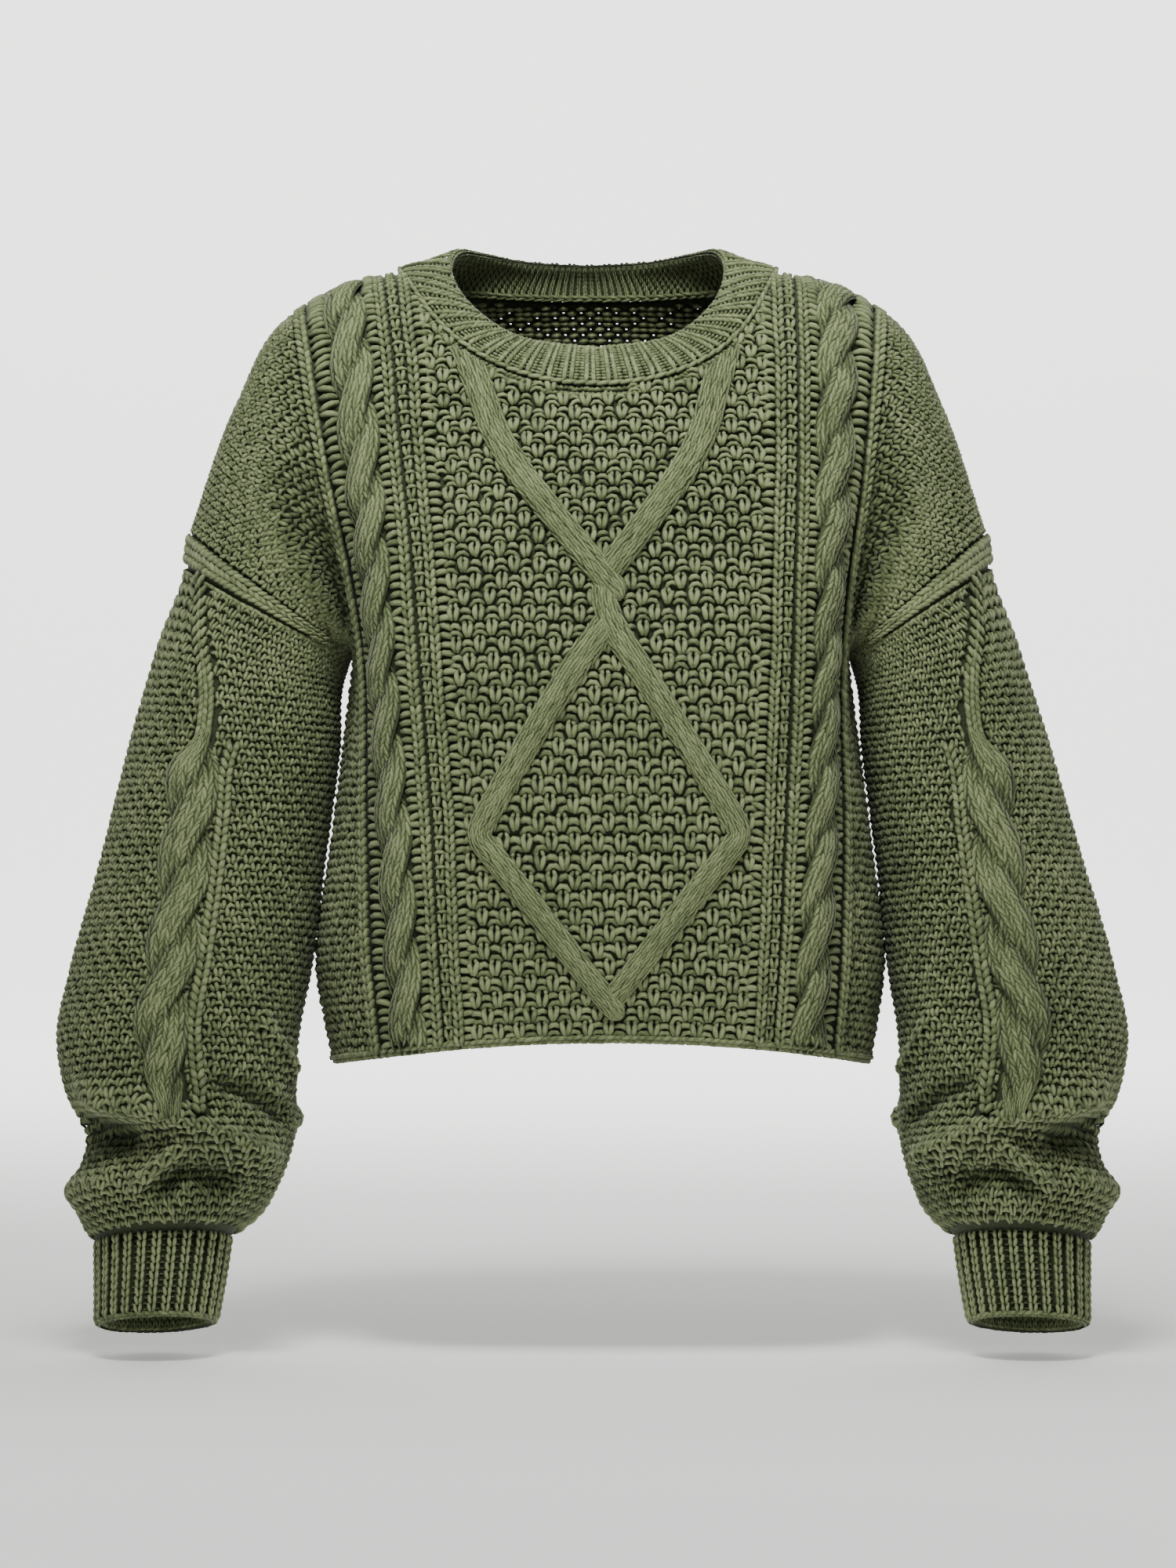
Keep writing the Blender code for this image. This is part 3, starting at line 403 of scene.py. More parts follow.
def neck_curve(face, count):
    """(across, length) round the neck edge from the right shoulder to the left, its points
    about evenly apart."""
    turn = np.linspace(0, np.pi, 400)
    across = NECK_HALF_WIDTH * np.cos(turn)
    fine = panel_point(face, across, neck_length(face, across))
    walked = walk(fine)
    across = np.interp(np.linspace(0, walked[-1], count), walked, across)
    across[0], across[-1] = NECK_HALF_WIDTH, -NECK_HALF_WIDTH
    return np.stack([across, neck_length(face, across)], axis=1)


def panel_normals(face, places):
    """The way the cloth faces, turned into the seam's own plane along each joined edge."""
    across, length = places[:, 0], places[:, 1]
    facing = normals(lambda a, b: panel_point(face, a, b), across, length, face)
    seam = (length <= 0) | (np.abs(across) >= EDGE)
    facing[seam, 1] = 0
    facing = unit(facing)
    for side in (LEFT, RIGHT):
        ring = (side * across >= EDGE) & (length <= UNDERARM)
        if ring.any():
            angle = 180 - 180 * length[ring] / UNDERARM
            facing[ring] = join_direction(side, angle if face == FRONT else -angle)
    return facing


def section_axis(side, row):
    """The way down the sleeve, square to a section."""
    rise, pitch = np.radians(row[6]), np.radians(row[7])
    across = np.array((side * np.cos(rise), 0.0, np.sin(rise)))
    back = np.array((0.0, np.cos(pitch), -np.sin(pitch)))
    return unit(side * np.cross(back, across))


# Cloth: places and ways on a surface of two parameters
class Cloth:
    """A surface to lay stitches on: place(u, v) gives points, and flip turns it outwards."""

    def __init__(self, place, flip):
        self.place = place
        self.flip = flip

    def frame(self, u, v):
        """Points, outward normals, and the ways across and down, with their scales."""
        u, v = np.broadcast_arrays(np.asarray(u, float), np.asarray(v, float))
        over = (self.place(u + STEP, v) - self.place(u - STEP, v)) / (2 * STEP)
        down = (self.place(u, v + STEP) - self.place(u, v - STEP)) / (2 * STEP)
        normal = unit(self.flip * np.cross(over, down))
        wide = np.linalg.norm(over, axis=1)
        tall = np.linalg.norm(down, axis=1)
        over = over / wide[:, None]
        down = square_to(down, over)
        return self.place(u, v), normal, over, down, wide, tall

    def lining(self):
        """The same cloth seen from inside."""

        def place(u, v):
            point, normal, *_ = self.frame(u, v)
            return point - WALL * normal

        return Cloth(place, -self.flip)


# Stitches: short lengths of yarn, each a curved pill open underneath
COARSE, PLAIN, ROUND = (3, 3), (3, 4), (4, 4)  # stations along and points round a stitch


def pill(stations, around):
    """Places along and round a stitch (0 to 1, and an angle), and its triangles."""
    turn = np.linspace(-1.75, 1.75, around)
    along = np.linspace(0.1, 0.9, stations)
    t = np.concatenate([[0.0], np.repeat(along, around), [1.0]])
    angle = np.concatenate([[0.0], np.tile(turn, stations), [0.0]])
    last = len(t) - 1
    faces = []
    for j in range(around - 1):
        faces.append((2 + j, 1 + j, 0))
        for s in range(stations - 1):
            a = 1 + s * around + j
            faces += [(a, a + 1, a + around + 1), (a, a + around + 1, a + around)]
        a = 1 + (stations - 1) * around + j
        faces.append((a, a + 1, last))
    full = np.sqrt(1 - np.abs(2 * t - 1) ** 3.4)
    return t, angle, full, np.array(faces)


class Knit:
    """Gathers stitches, then makes one mesh of them."""

    def __init__(self):
        self.batches = []

    def add(self, start, middle, end, up, half, height, detail=PLAIN, shade=0.0):
        """One stitch for each row: a curve through three control points, so far to each
        side, so high. shade darkens or lightens it."""
        t, angle, full, faces = pill(*detail)
        count = len(start)
        if not count:
            return

        def each(numbers):
            return (np.ones(count) * numbers)[:, None]

        t_ = t[None, :, None]
        a, b, c = start[:, None], middle[:, None], end[:, None]
        curve = (1 - t_) ** 2 * a + 2 * t_ * (1 - t_) * b + t_**2 * c
        way = unit(2 * (1 - t_) * (b - a) + 2 * t_ * (c - b))
        side = unit(np.cross(way, up[:, None]))
        above = np.cross(side, way)
        half = each(half) * full
        rise = np.cos(angle) * full - 0.25 * (1 - full)
        points = curve + side * (half * np.sin(angle))[:, :, None]
        points = points + above * (each(height) * rise)[:, :, None]
        length = np.linalg.norm(end - start, axis=1)[:, None]
        tone = each(rng.normal(0, 1, count))
        yarn = np.stack([t * length + 37 * tone, angle * half + 11 * tone], axis=2)
        cell = np.stack(np.broadcast_arrays(t * 0.9 + 0.05, angle / 4 + 0.5), axis=1)
        # The rise number, low at a stitch's foot and high on its crest, gives painted shade and a
        # painted highlight in the wool material.
        numbers = [np.clip(0.5 + 0.5 * rise, 0, 1), tone, each(shade)]
        numbers = [n * np.ones((count, len(t))) for n in numbers]
        self.batches.append((points, faces, yarn, cell, numbers))

    def build(self, name, material):
        """One mesh, each stitch with a cell of its own in the baking map."""
        side = math.ceil(math.sqrt(sum(len(batch[0]) for batch in self.batches)))
        lots, first, done = [], 0, 0
        for points, triangles, yarn, cell, numbers in self.batches:
            count, each = points.shape[:2]
            starts = first + each * np.arange(count)[:, None, None]
            number = done + np.arange(count)
            corner = np.stack([number % side, number // side], axis=1)
            baked = (corner[:, None] + cell[None]) / side
            flat = [k.reshape(-1, k.shape[-1]) for k in (points, triangles + starts, yarn, baked)]
            lots.append(flat + [k.ravel() for k in numbers])
            first += count * each
            done += count
        points, triangles, yarn, baked, *numbers = (np.concatenate(lot) for lot in zip(*lots))
        values = dict(zip(("rise", "tone", "shade"), numbers))
        return make_mesh(name, points, triangles, material, values, {"OFBake": baked, "yarn": yarn})


def add_object(name, data):
    made = bpy.data.objects.new(name, data)
    bpy.context.scene.collection.objects.link(made)
    return made


def make_mesh(name, points, triangles, material, values, uvs):
    """A smooth mesh of triangles, with a number at each point and UV maps."""
    mesh = bpy.data.meshes.new(name)
    mesh.vertices.add(len(points))
    mesh.vertices.foreach_set("co", (points * MM).astype(np.float32).ravel())
    mesh.loops.add(3 * len(triangles))
    corners = np.asarray(triangles, np.int32).ravel()
    mesh.loops.foreach_set("vertex_index", corners)
    mesh.polygons.add(len(triangles))
    mesh.polygons.foreach_set("loop_start", np.arange(0, 3 * len(triangles), 3, dtype=np.int32))
    mesh.update(calc_edges=True)
    mesh.shade_smooth()
    for word, numbers in values.items():
        layer = mesh.attributes.new(word, "FLOAT", "POINT")
        layer.data.foreach_set("value", numbers.astype(np.float32))
    for word, places in uvs.items():
        layer = mesh.uv_layers.new(name=word)
        layer.data.foreach_set("uv", places[corners].astype(np.float32).ravel())
    mesh.materials.append(material)
    return add_object(name, mesh)


def plain_mesh(name, points, triangles, plan, rise):
    """A mesh of the ground's yarn, with no stitches of its own, in the darker ground colours:
    painted shade where it shows between the stitches.
    """
    zero = np.zeros(len(points))
    values = {"rise": zero + rise, "tone": zero, "shade": zero}
    uvs = {"OFBake": plan, "yarn": points[:, [0, 2]]}
    return make_mesh(name, points, triangles, SHADED_GROUND, values, uvs)


def jitter(count, size):
    return rng.normal(0, size, (count, 1))


def jolt(like):
    """A small turn for each stitch, in radians."""
    return rng.normal(0, 0.15, len(like))


def lay(knit, cloth, u, v, path, half, height, lift=0.0, detail=PLAIN, loose=0.18,
        shade=0.0, turn=0.0):
    """One stitch at each place: path is three control points as (across, down, proud), in
    millimetres from it, turned by an angle."""
    u, v = np.broadcast_arrays(np.asarray(u, float), np.asarray(v, float))
    if not len(u):
        return
    point, normal, over, down, *_ = cloth.frame(u, v)
    lift = (np.ones(len(u)) * lift)[:, None]
    c, s = (f(np.ones((len(u), 1)) * np.reshape(turn, (-1, 1))) for f in (np.cos, np.sin))
    found = []
    for x, y, h in path:
        x, y, h = (np.asarray(k, float).reshape(-1, 1) for k in (x, y, h))
        x, y = x * c - y * s + jitter(len(u), loose), x * s + y * c + jitter(len(u), loose)
        found.append(point + over * x + down * y + normal * (h + lift + jitter(len(u), loose / 2)))
    knit.add(*found, normal, half, height, detail, shade)


def arc(wide, low, foot, high, crest):
    """A path from foot to foot, so far to each side, over a crest between them."""
    return ((-wide, low, foot), (0, high, crest), (wide, low, foot))


def leg(across, down, foot, crest):
    """A straight path from foot to foot over a crest in its middle."""
    return ((-across, -down, foot), (0, 0, crest), (across, down, foot))


def mirrored(path, sign):
    return [(sign * x, y, h) for x, y, h in path]


def lay_pair(knit, cloth, u, v, path, *rest):
    """A stitch and its mirror image at each place."""
    for sign in (-1, 1):
        lay(knit, cloth, u, v, mirrored(path, sign), *rest)


def knit_column(knit, cloth, line, rows, pitch, wide, half, lift=0.0, detail=PLAIN):
    """A column of V's, one for each row."""
    room = np.clip(cloth.frame(line, rows)[4], 1.0, 1.3)
    w, half = wide * room, half * room
    path = ((w, -0.72 * pitch, -0.9), (0.9 * w, 0.05 * pitch, 1.0), (0.1 * w, 0.66 * pitch, -0.6))
    lay_pair(knit, cloth, line, rows, path, half, half * 0.95, lift, detail, 0.15)


def bump_column(knit, cloth, line, rows, wide, half, lift=0.0, shade=-0.08):
    """A column of purl bumps, one for each row."""
    wide = wide * np.clip(cloth.frame(line, rows)[4], 1.0, 1.35)
    path = arc(wide, 1.3, -2.0, -2.3, 1.1)
    lay(knit, cloth, line, rows, path, half, half * 0.9, lift, ROUND, 0.35, shade, 1.5 * jolt(rows))


def seed(knit, cloth, u, v, parity, wide, tall, slant, detail, shade=0.0):
    """Seed stitch: a purl arc on even places, and a leaning V on odd ones. wide and tall
    are the room of each place, and slant is how far a V leans."""
    even = parity % 2 == 0
    shade = np.ones(len(u)) * shade
    w, h = wide[even], tall[even]
    path = arc(0.56 * w, 0.36 * h, -1.5, -0.72 * h, 1.0)
    turn = 0.5 * slant[even] + rng.normal(0, 0.22, len(w))
    lay(knit, cloth, u[even], v[even], path, 0.32 * h, 1.4, -0.5, detail, 0.3, shade[even], turn)
    w, h = wide[~even], tall[~even]
    turn = slant[~even] + rng.normal(0, 0.2, len(w))
    path = ((0.36 * w, -0.62 * h, -1.4), (0.32 * w, 0.02 * h, 1.1), (0.1 * w, 0.62 * h, -1.3))
    lay_pair(knit, cloth, u[~even], v[~even], path, 0.29 * w, 1.4, -0.45, detail, 0.3,
             shade[~even], turn)


# Ropes and bands
STRAND_REACH, STRAND_HALF = 0.40, 0.63  # of a rope's half width
LEG_SHARE = 1.18  # half a leg's width, as a share of its room's half
ROPE_ROW, BAND_ROW = 4.9, 5.2


class Rope:
    """A cable of two strands wound round each other along a line down the cloth. way is 1
    where the strand in front climbs towards larger u, and -1 where it falls."""

    def __init__(self, cloth, line, turn, half, crest, way, grown=None):
        self.cloth, self.line, self.turn = cloth, line, turn
        self.half, self.crest, self.way = half, crest, way  # crest is a height by length
        self.grown = grown or (lambda v: np.ones(len(v)))

    def place(self, strand, v, off, sunk):
        """Points on a strand, off from its middle by -1 to 1, the way each faces, how far
        to the front the strand is there, and how far the point lies from the other one."""
        size = self.grown(v)
        theta = np.pi * (v / self.turn + strand)
        reach = STRAND_REACH * self.half * size
        x = -self.way * reach * np.sin(theta)
        slope = -self.way * reach * np.cos(theta) * np.pi / self.turn
        stretch = np.sqrt(1 + slope**2)
        side = off * STRAND_HALF * self.half * size
        x = x + side / stretch
        down = v - side * slope / stretch
        other = self.way * reach * np.sin(np.pi * (down / self.turn + strand))
        apart = np.abs(x - other) / (STRAND_HALF * self.half * size)
        flat = self.line(down)
        point, normal, over, _, wide, _ = self.cloth.frame(flat, down)
        point, normal, over, _, _, _ = self.cloth.frame(flat + x / wide, down)
        dome = np.sqrt(np.clip(1 - 0.86 * off**2, 0, 1))
        height = self.crest(v) * (0.04 + 0.4 * np.cos(theta) + 0.56 * dome) - sunk
        height = np.where(np.abs(off) > 1.05, -1.8, np.maximum(height, -1.8))
        facing = unit(normal * (dome + 0.25)[:, None] + over * (0.85 * off)[:, None])
        return point + normal * height[:, None], facing, np.cos(theta), apart

    def knit(self, knit, start, end, wales, row, detail=COARSE):
        """Legs of yarn along both strands, row by row, where the other doesn't hide them."""
        for strand in (0, 1):
            for k in range(wales):
                off = (k + 0.5) / wales * 2 - 1
                v = np.arange(start + row * (0.3 + 0.5 * (k % 2)), end, row)
                v = v + rng.normal(0, 0.35, len(v))
                offs = off * 0.97 + rng.normal(0, 0.02, len(v))
                lean = 0.12 * (1 if k % 2 else -1)
                a, *_ = self.place(strand, v - 0.84 * row, offs - lean, 0.75)
                b, up, front, apart = self.place(strand, v, offs, 0.0)
                c, *_ = self.place(strand, v + 0.84 * row, offs + lean, 0.75)
                seen = (front > 0) | (apart > 0.72)
                size = self.grown(v)[seen]
                # Painted shade: a leg is darker where its strand lies behind the other and close to
                # it, and darker towards the strand's edges.
                under = np.clip((0.25 - front) * 1.6, 0, 1) * np.clip(1.75 - apart, 0, 1)
                shade = 0.08 - 0.45 * under - 0.12 * np.abs(offs) ** 4
                half = LEG_SHARE * STRAND_HALF * self.half / wales * size
                knit.add(a[seen], b[seen], c[seen], up[seen], half, 0.75, detail, shade[seen])

    def core(self, start, end, step):
        """Points and triangles of a plain surface under the legs of both strands."""
        v = np.arange(start, end, step)
        offs = np.array((-1.05, -1, -0.67, -0.33, 0, 0.33, 0.67, 1, 1.05))
        vv, oo = grid(v, offs)
        faces = grid_faces(len(v), len(offs))
        return joined([(self.place(strand, vv, oo, 1.1)[0], faces) for strand in (0, 1)])


def joined(parts):
    """Several lots of points and triangles as one."""
    starts = np.cumsum([0] + [len(points) for points, _ in parts])
    faces = [triangles + start for (_, triangles), start in zip(parts, starts)]
    return np.vstack([points for points, _ in parts]), np.vstack(faces)


def grid_faces(rows, columns):
    """Triangles of a grid of points, rows by columns."""
    r, c = grid(np.arange(rows - 1), np.arange(columns - 1))
    a = r * columns + c
    quads = np.stack([a, a + 1, a + columns + 1, a + columns], axis=1)
    return np.vstack([quads[:, [0, 1, 2]], quads[:, [0, 2, 3]]])


class Band:
    """A raised band of close columns along a route of straight runs on a panel. tucked says
    of each end whether it dives under another band or the neckband."""

    def __init__(self, cloth, route, half, crest, tucked):
        self.cloth, self.half, self.crest, self.tucked = cloth, half, crest, tucked
        self.route = rounded(route)
        self.walked = walk(self.route)
        self.length = self.walked[-1]

    def at(self, s):
        return np.stack([np.interp(s, self.walked, self.route[:, k]) for k in (0, 1)], axis=1)

    def place(self, s, off, sunk):
        """Points at a distance along the band, off from its middle by -1 to 1."""
        ahead = unit(self.at(s + 3) - self.at(s - 3))
        full, dive = np.ones(len(s)), np.zeros(len(s))
        for gap, tucked in zip((s, self.length - s), self.tucked):
            if tucked:
                dive += 1 - smooth_step(gap / 8)
            else:
                full *= np.sqrt(np.clip(1 - (1 - np.clip(gap / self.half, 0, 1)) ** 2, 0.03, 1))
        side = off * self.half * full
        u, v = (self.at(s) + side[:, None] * np.stack([-ahead[:, 1], ahead[:, 0]], axis=1)).T
        room = v - neck_length(FRONT, np.clip(u, -NECK_HALF_WIDTH, NECK_HALF_WIDTH))
        dive += 3 * (1 - smooth_step((room - 1) / 4))
        dome = np.sqrt(np.clip(1 - 0.92 * np.abs(off) ** 2.6, 0, 1))
        height = self.crest * (0.1 + 0.9 * dome) * (0.35 + 0.65 * full) - sunk - 3.2 * dive
        point, normal, over, down, *_ = self.cloth.frame(u, v)
        across = over * -ahead[:, 1:] + down * ahead[:, :1]
        facing = unit(normal * (dome + 0.25)[:, None] + across * (0.8 * off)[:, None])
        return point + normal * height[:, None], facing

    def knit(self, knit, wales, row, detail=COARSE):
        for k in range(wales):
            off = (k + 0.5) / wales * 2 - 1
            s = np.arange(row * (0.25 + 0.5 * (k % 2)), self.length, row)
            s = s + rng.normal(0, 0.4, len(s))
            offs = off * 0.97 + rng.normal(0, 0.025, len(s))
            lean = 0.08 * (1 if k % 2 else -1)
            a, _ = self.place(s - 0.85 * row, offs - lean, 0.75)
            b, up = self.place(s, offs, 0.0)
            c, _ = self.place(s + 0.85 * row, offs + lean, 0.75)
            knit.add(a, b, c, up, 1.25 * self.half / wales, 0.75, detail, 0.08)

    def core(self):
        s = np.arange(0.5, self.length, 4.0)
        offs = np.linspace(-1, 1, 7)
        ss, oo = grid(s, offs)
        return self.place(ss, oo, 1.0)[0], grid_faces(len(s), len(offs))


def rounded(route):
    """A route's corners cut to a curve, as close points."""
    route = np.array(route, float)
    for _ in range(3):
        cut = [route[0]]
        for a, b in zip(route[:-1], route[1:]):
            cut += [0.75 * a + 0.25 * b, 0.25 * a + 0.75 * b]
        route = np.array(cut + [route[-1]])
    return route


# Materials
def new_material(name):
    material = bpy.data.materials.new(name)
    material.use_nodes = True
    tree = material.node_tree
    return material, tree.nodes, tree.links, tree.nodes["Principled BSDF"]


def wool(name, deep, low, high, bump=0.5):
    """Yarn: painted shade low on each stitch and a painted highlight on its crest, by its rise
    number, with fibres along it.
    """
    material, nodes, links, shader = new_material(name)

    def value(word):
        node = nodes.new("ShaderNodeAttribute")
        node.attribute_name = word
        return node.outputs["Fac"]

    def maths(kind, a, b, clamp=False):
        node = nodes.new("ShaderNodeMath")
        node.operation = kind
        node.use_clamp = clamp
        for socket, given in zip(node.inputs, (a, b)):
            if isinstance(given, (int, float)):
                socket.default_value = given
            else:
                links.new(given, socket)
        return node.outputs[0]

    def noise(vector, scale, detail):
        node = nodes.new("ShaderNodeTexNoise")
        node.inputs["Scale"].default_value = scale
        node.inputs["Detail"].default_value = detail
        links.new(vector, node.inputs["Vector"])
        return node.outputs["Fac"]

    uv = nodes.new("ShaderNodeUVMap")
    uv.uv_map = "yarn"
    stretch = nodes.new("ShaderNodeMapping")
    stretch.inputs["Scale"].default_value = (0.35, 2.2, 1.0)
    stretch.inputs["Rotation"].default_value = (0, 0, math.radians(20))
    links.new(uv.outputs["UV"], stretch.inputs["Vector"])
    fibres = noise(stretch.outputs["Vector"], 1.3, 3.0)
    place = nodes.new("ShaderNodeTexCoord")
    cloud = noise(place.outputs["Object"], 14.0, 2.0)

    # Painted shade and highlight: the rise number picks the deep colour at a stitch's foot and the
    # high one on its crest.
    light = maths("ADD", value("rise"), maths("MULTIPLY", value("tone"), 0.06))
    light = maths("ADD", light, value("shade"))
    for part, share, clamp in ((fibres, 0.8, False), (cloud, 0.25, True)):
        part = maths("MULTIPLY", maths("SUBTRACT", part, 0.5), share)
        light = maths("ADD", light, part, clamp)
    ramp = nodes.new("ShaderNodeValToRGB")
    stops = ramp.color_ramp.elements
    stops.new(0.74)
    for stop, place, colour in zip(stops, (0.3, 0.74, 1.0), (deep, low, high)):
        stop.position, stop.color = place, (*colour, 1)
    links.new(light, ramp.inputs["Fac"])
    links.new(ramp.outputs["Color"], shader.inputs["Base Color"])
    for word, number in (("Roughness", 0.9), ("Specular IOR Level", 0.2), ("Sheen Weight", 0.15),
                         ("Sheen Roughness", 0.5)):
        shader.inputs[word].default_value = number
    relief = nodes.new("ShaderNodeBump")
    relief.inputs["Strength"].default_value = bump
    relief.inputs["Distance"].default_value = 0.0006
    links.new(fibres, relief.inputs["Height"])
    links.new(relief.outputs["Normal"], shader.inputs["Normal"])
    return material


# Colours: deep is painted shade at a stitch's foot, low its middle colour, high a painted highlight
# on its crest.
YARN = wool("yarn", (0.016, 0.022, 0.010), (0.115, 0.150, 0.062), (0.290, 0.335, 0.165))
# The ground, a darker copy of the yarn: painted shade where it shows between the stitches.
SHADED_GROUND = wool("yarn_ground_shaded", (0.014, 0.019, 0.009), (0.075, 0.098, 0.043), (0.15, 0.18, 0.085), 0.2)

# Shells under the stitches
SHELL_TOP, SHELL_FOOT = -2.3, -4.0


def front_plan(points, wide):
    """Places in the baking map as seen from the front, over so much of its width."""
    flat = (points - points.min(axis=0)) / np.ptp(points, axis=0)
    return flat[:, [0, 2]] * np.array((wide, 0.96)) + 0.02


def shell(name, outer, inner, faces, loops):
    """A closed thin wall of two faces with the same triangles, joined round its loops."""
    count = len(outer)
    walls = []
    for loop in loops:
        for a, b in zip(loop, loop[1:] + loop[:1]):
            walls += [(b, a, a + count), (b, a + count, b + count)]
    triangles = np.vstack([faces, faces[:, ::-1] + count, np.array(walls)])
    points = np.vstack([outer, inner])
    plan = front_plan(points, 0.46)
    plan[count:, 0] += 0.5
    return plain_mesh(name, points, triangles, plan, 0.45)


MOSS_WALE, MOSS_WALES = 7.6, 14  # the wales' width, and how many to each side of the middle
MOSS_EDGE = 94.5
# Depth of a row of moss stitch by length: the cloth is pulled longer over the belly.
MOSS_ROW_AT = (0, 150, 210, 270, 330, 380, 440, 530)
MOSS_ROW = (7.9, 7.9, 8.7, 9.4, 11.4, 12.3, 10.8, 9.8)
# The nape's open stitches: a fine lattice with a hole at every second place.
NAPE_WALE, NAPE_ROW = 5.2, 3.8
NAPE_HALF, NAPE_FOOT = 84.0, 122.0
PINHOLE_WIDE, PINHOLE_TALL = 1.2, 1.4


def nape_places():
    """(across, length, open) of the nape's lattice, below the neck's edge."""
    columns, first = int(NAPE_HALF / NAPE_WALE), int(NECK_DROP[BACK] / NAPE_ROW)
    places = []
    for c in range(-columns, columns + 1):
        for r in range(first, int(NAPE_FOOT / NAPE_ROW)):
            across, length = c * NAPE_WALE, r * NAPE_ROW
            if length > neck_length(BACK, np.array([across]))[0] + 3:
                bare = (c + r) % 2 == 0 and rng.random() < 0.8 - 0.8 * abs(across) / 110
                places.append((across, length, bare))
    return np.array(places, float)


NAPE = nape_places()
PINHOLES = NAPE[NAPE[:, 2] > 0][:, :2]


def panel_shell(face, name):
    """A body panel's wall as a grid: its top follows the neck's edge."""
    columns = [c * MOSS_WALE for c in range(MOSS_WALES)]
    if face == BACK:
        edges = [x + s * PINHOLE_WIDE / 2 for x in np.unique(PINHOLES[:, 0]) for s in (-1, 1)]
        columns = [0] + [c for c in columns if c > NAPE_HALF] + edges
    columns += [96.5, 99, 100.5, 101.5, 103.5, 104.6, 105.0, 107.5]
    columns += [line + w * RIB_HALF for line in RIB_LINES for w in (-1, 0, 1)]
    columns += [CABLE_LINE + CABLE_HALF * w for w in (-1, -0.5, 0, 0.5, 1)]
    columns += [178, 187, 197, 208, 219, 230, 241, 252, 263, 273, 282, 290, 297, 303, 307, EDGE]
    columns = sorted({round(abs(c), 3) for c in columns})
    columns = np.array([-c for c in columns[:0:-1]] + columns)
    rows = list(np.arange(0, HEM, 9.8)) + [4, 14, 24, 34, HEM]
    if face == BACK:
        rows = [r for r in rows if r < PINHOLES[:, 1].min() - 2 or r > NAPE_FOOT]
        rows += [y + s * PINHOLE_TALL / 2 for y in np.unique(PINHOLES[:, 1]) for s in (-1, 1)]
    rows = np.array(sorted({round(float(r), 3) for r in rows}))
    neck = np.where(np.abs(columns) < NECK_HALF_WIDTH, neck_length(face, columns), 0.0)
    index, u, v = {}, [], []
    for i, column in enumerate(columns):
        start = int(np.searchsorted(rows, neck[i] + 1.2, side="right")) - 1
        for j, row in enumerate(rows):
            if 0 < j <= start:
                index[i, j] = index[i, 0]
                continue
            index[i, j] = len(u)
            u.append(column)
            v.append(row if j else neck[i])
    u, v = np.array(u), np.array(v)
    open_cells = set()
    if face == BACK:
        for across, length in PINHOLES:
            i = int(np.argmin(np.abs(columns - (across - PINHOLE_WIDE / 2))))
            j = int(np.argmin(np.abs(rows - (length - PINHOLE_TALL / 2))))
            open_cells.add((i, j))
    faces, holes = [], []
    for i in range(len(columns) - 1):
        for j in range(len(rows) - 1):
            a, b = index[i, j], index[i + 1, j]
            c, d = index[i + 1, j + 1], index[i, j + 1]
            if (i, j) in open_cells:
                holes.append([a, d, c, b])
                continue
            for triangle in ((a, b, c), (a, c, d)):
                if len(set(triangle)) == 3:
                    faces.append(triangle)
    last = len(rows) - 1
    loop = [index[i, 0] for i in range(len(columns))]
    loop += [index[len(columns) - 1, j] for j in range(1, last + 1)]
    loop += [index[i, last] for i in range(len(columns) - 2, -1, -1)]
    loop += [index[0, j] for j in range(last - 1, 0, -1)]
    loop = [k for n, k in enumerate(loop) if k != loop[n - 1]]
    facing = panel_normals(face, np.stack([u, v], axis=1))
    base = panel_point(face, u, v)
    outer = base + facing * (SHELL_TOP + panel_ground(u))[:, None]
    inner = base + facing * SHELL_FOOT
    order = face  # the front's grid runs the other way round
    loops = [k[::order] for k in [loop] + holes]
    return shell(name, outer, inner, np.array(faces)[:, ::order], loops)


def panel_ground(across):
    """How far the wall under the stitches rises under the ribs and cables."""
    out = np.abs(across)
    height = np.zeros(len(across))
    for line in RIB_LINES:
        height = np.maximum(height, ridge_height(np.abs(out - line), RIB_HALF, 0, RIB_RAISE))
    w = np.clip((out - CABLE_LINE) / CABLE_HALF, -1, 1)
    return np.maximum(height, 2.0 * np.sqrt(np.clip(1 - w**2, 0, 1)))


def tube_shell(name, cloth, angles, rows, proud, facing=None):
    """A tube's wall as a grid closed round, proud(angle, length) over its plain surface."""
    vv, uu = grid(rows, angles[:-1])
    point, normal, *_ = cloth.frame(uu, vv)
    if facing is not None:
        normal = facing(uu, vv, normal)
    outer = point + normal * (SHELL_TOP + proud(uu, vv))[:, None]
    inner = point + normal * SHELL_FOOT
    count = len(angles) - 1
    faces = []
    for r in range(len(rows) - 1):
        for c in range(count):
            a, b = r * count + c, r * count + (c + 1) % count
            faces += [(a, b, b + count), (a, b + count, a + count)]
    first = list(range(count))
    last = [(len(rows) - 1) * count + c for c in first]
    order = 1 if cloth.flip > 0 else -1
    return shell(name, outer, inner, np.array(faces)[:, ::order], [first[::order], last[::-order]])


# Body panels
HEM_EDGE = 5.0


def wobble(u, v):
    """A slow unevenness of the rows and columns."""
    slow = 0.5 * np.sin(0.113 * u + 1.3) * np.sin(0.071 * v + 0.4)
    return slow + 0.35 * np.sin(0.19 * v + 0.05 * u)


def below_neck(face, u, v, room):
    inside = np.abs(u) < NECK_HALF_WIDTH + 2
    edge = neck_length(face, np.clip(u, -NECK_HALF_WIDTH, NECK_HALF_WIDTH))
    return v > np.where(inside, edge, 0) + room


def moss_rows():
    """Where each row of the moss stitch lies, and its depth."""
    places = [0.0]
    while places[-1] < HEM:
        places.append(places[-1] + np.interp(places[-1], MOSS_ROW_AT, MOSS_ROW))
    return np.array(places[:-1]), np.diff(places)


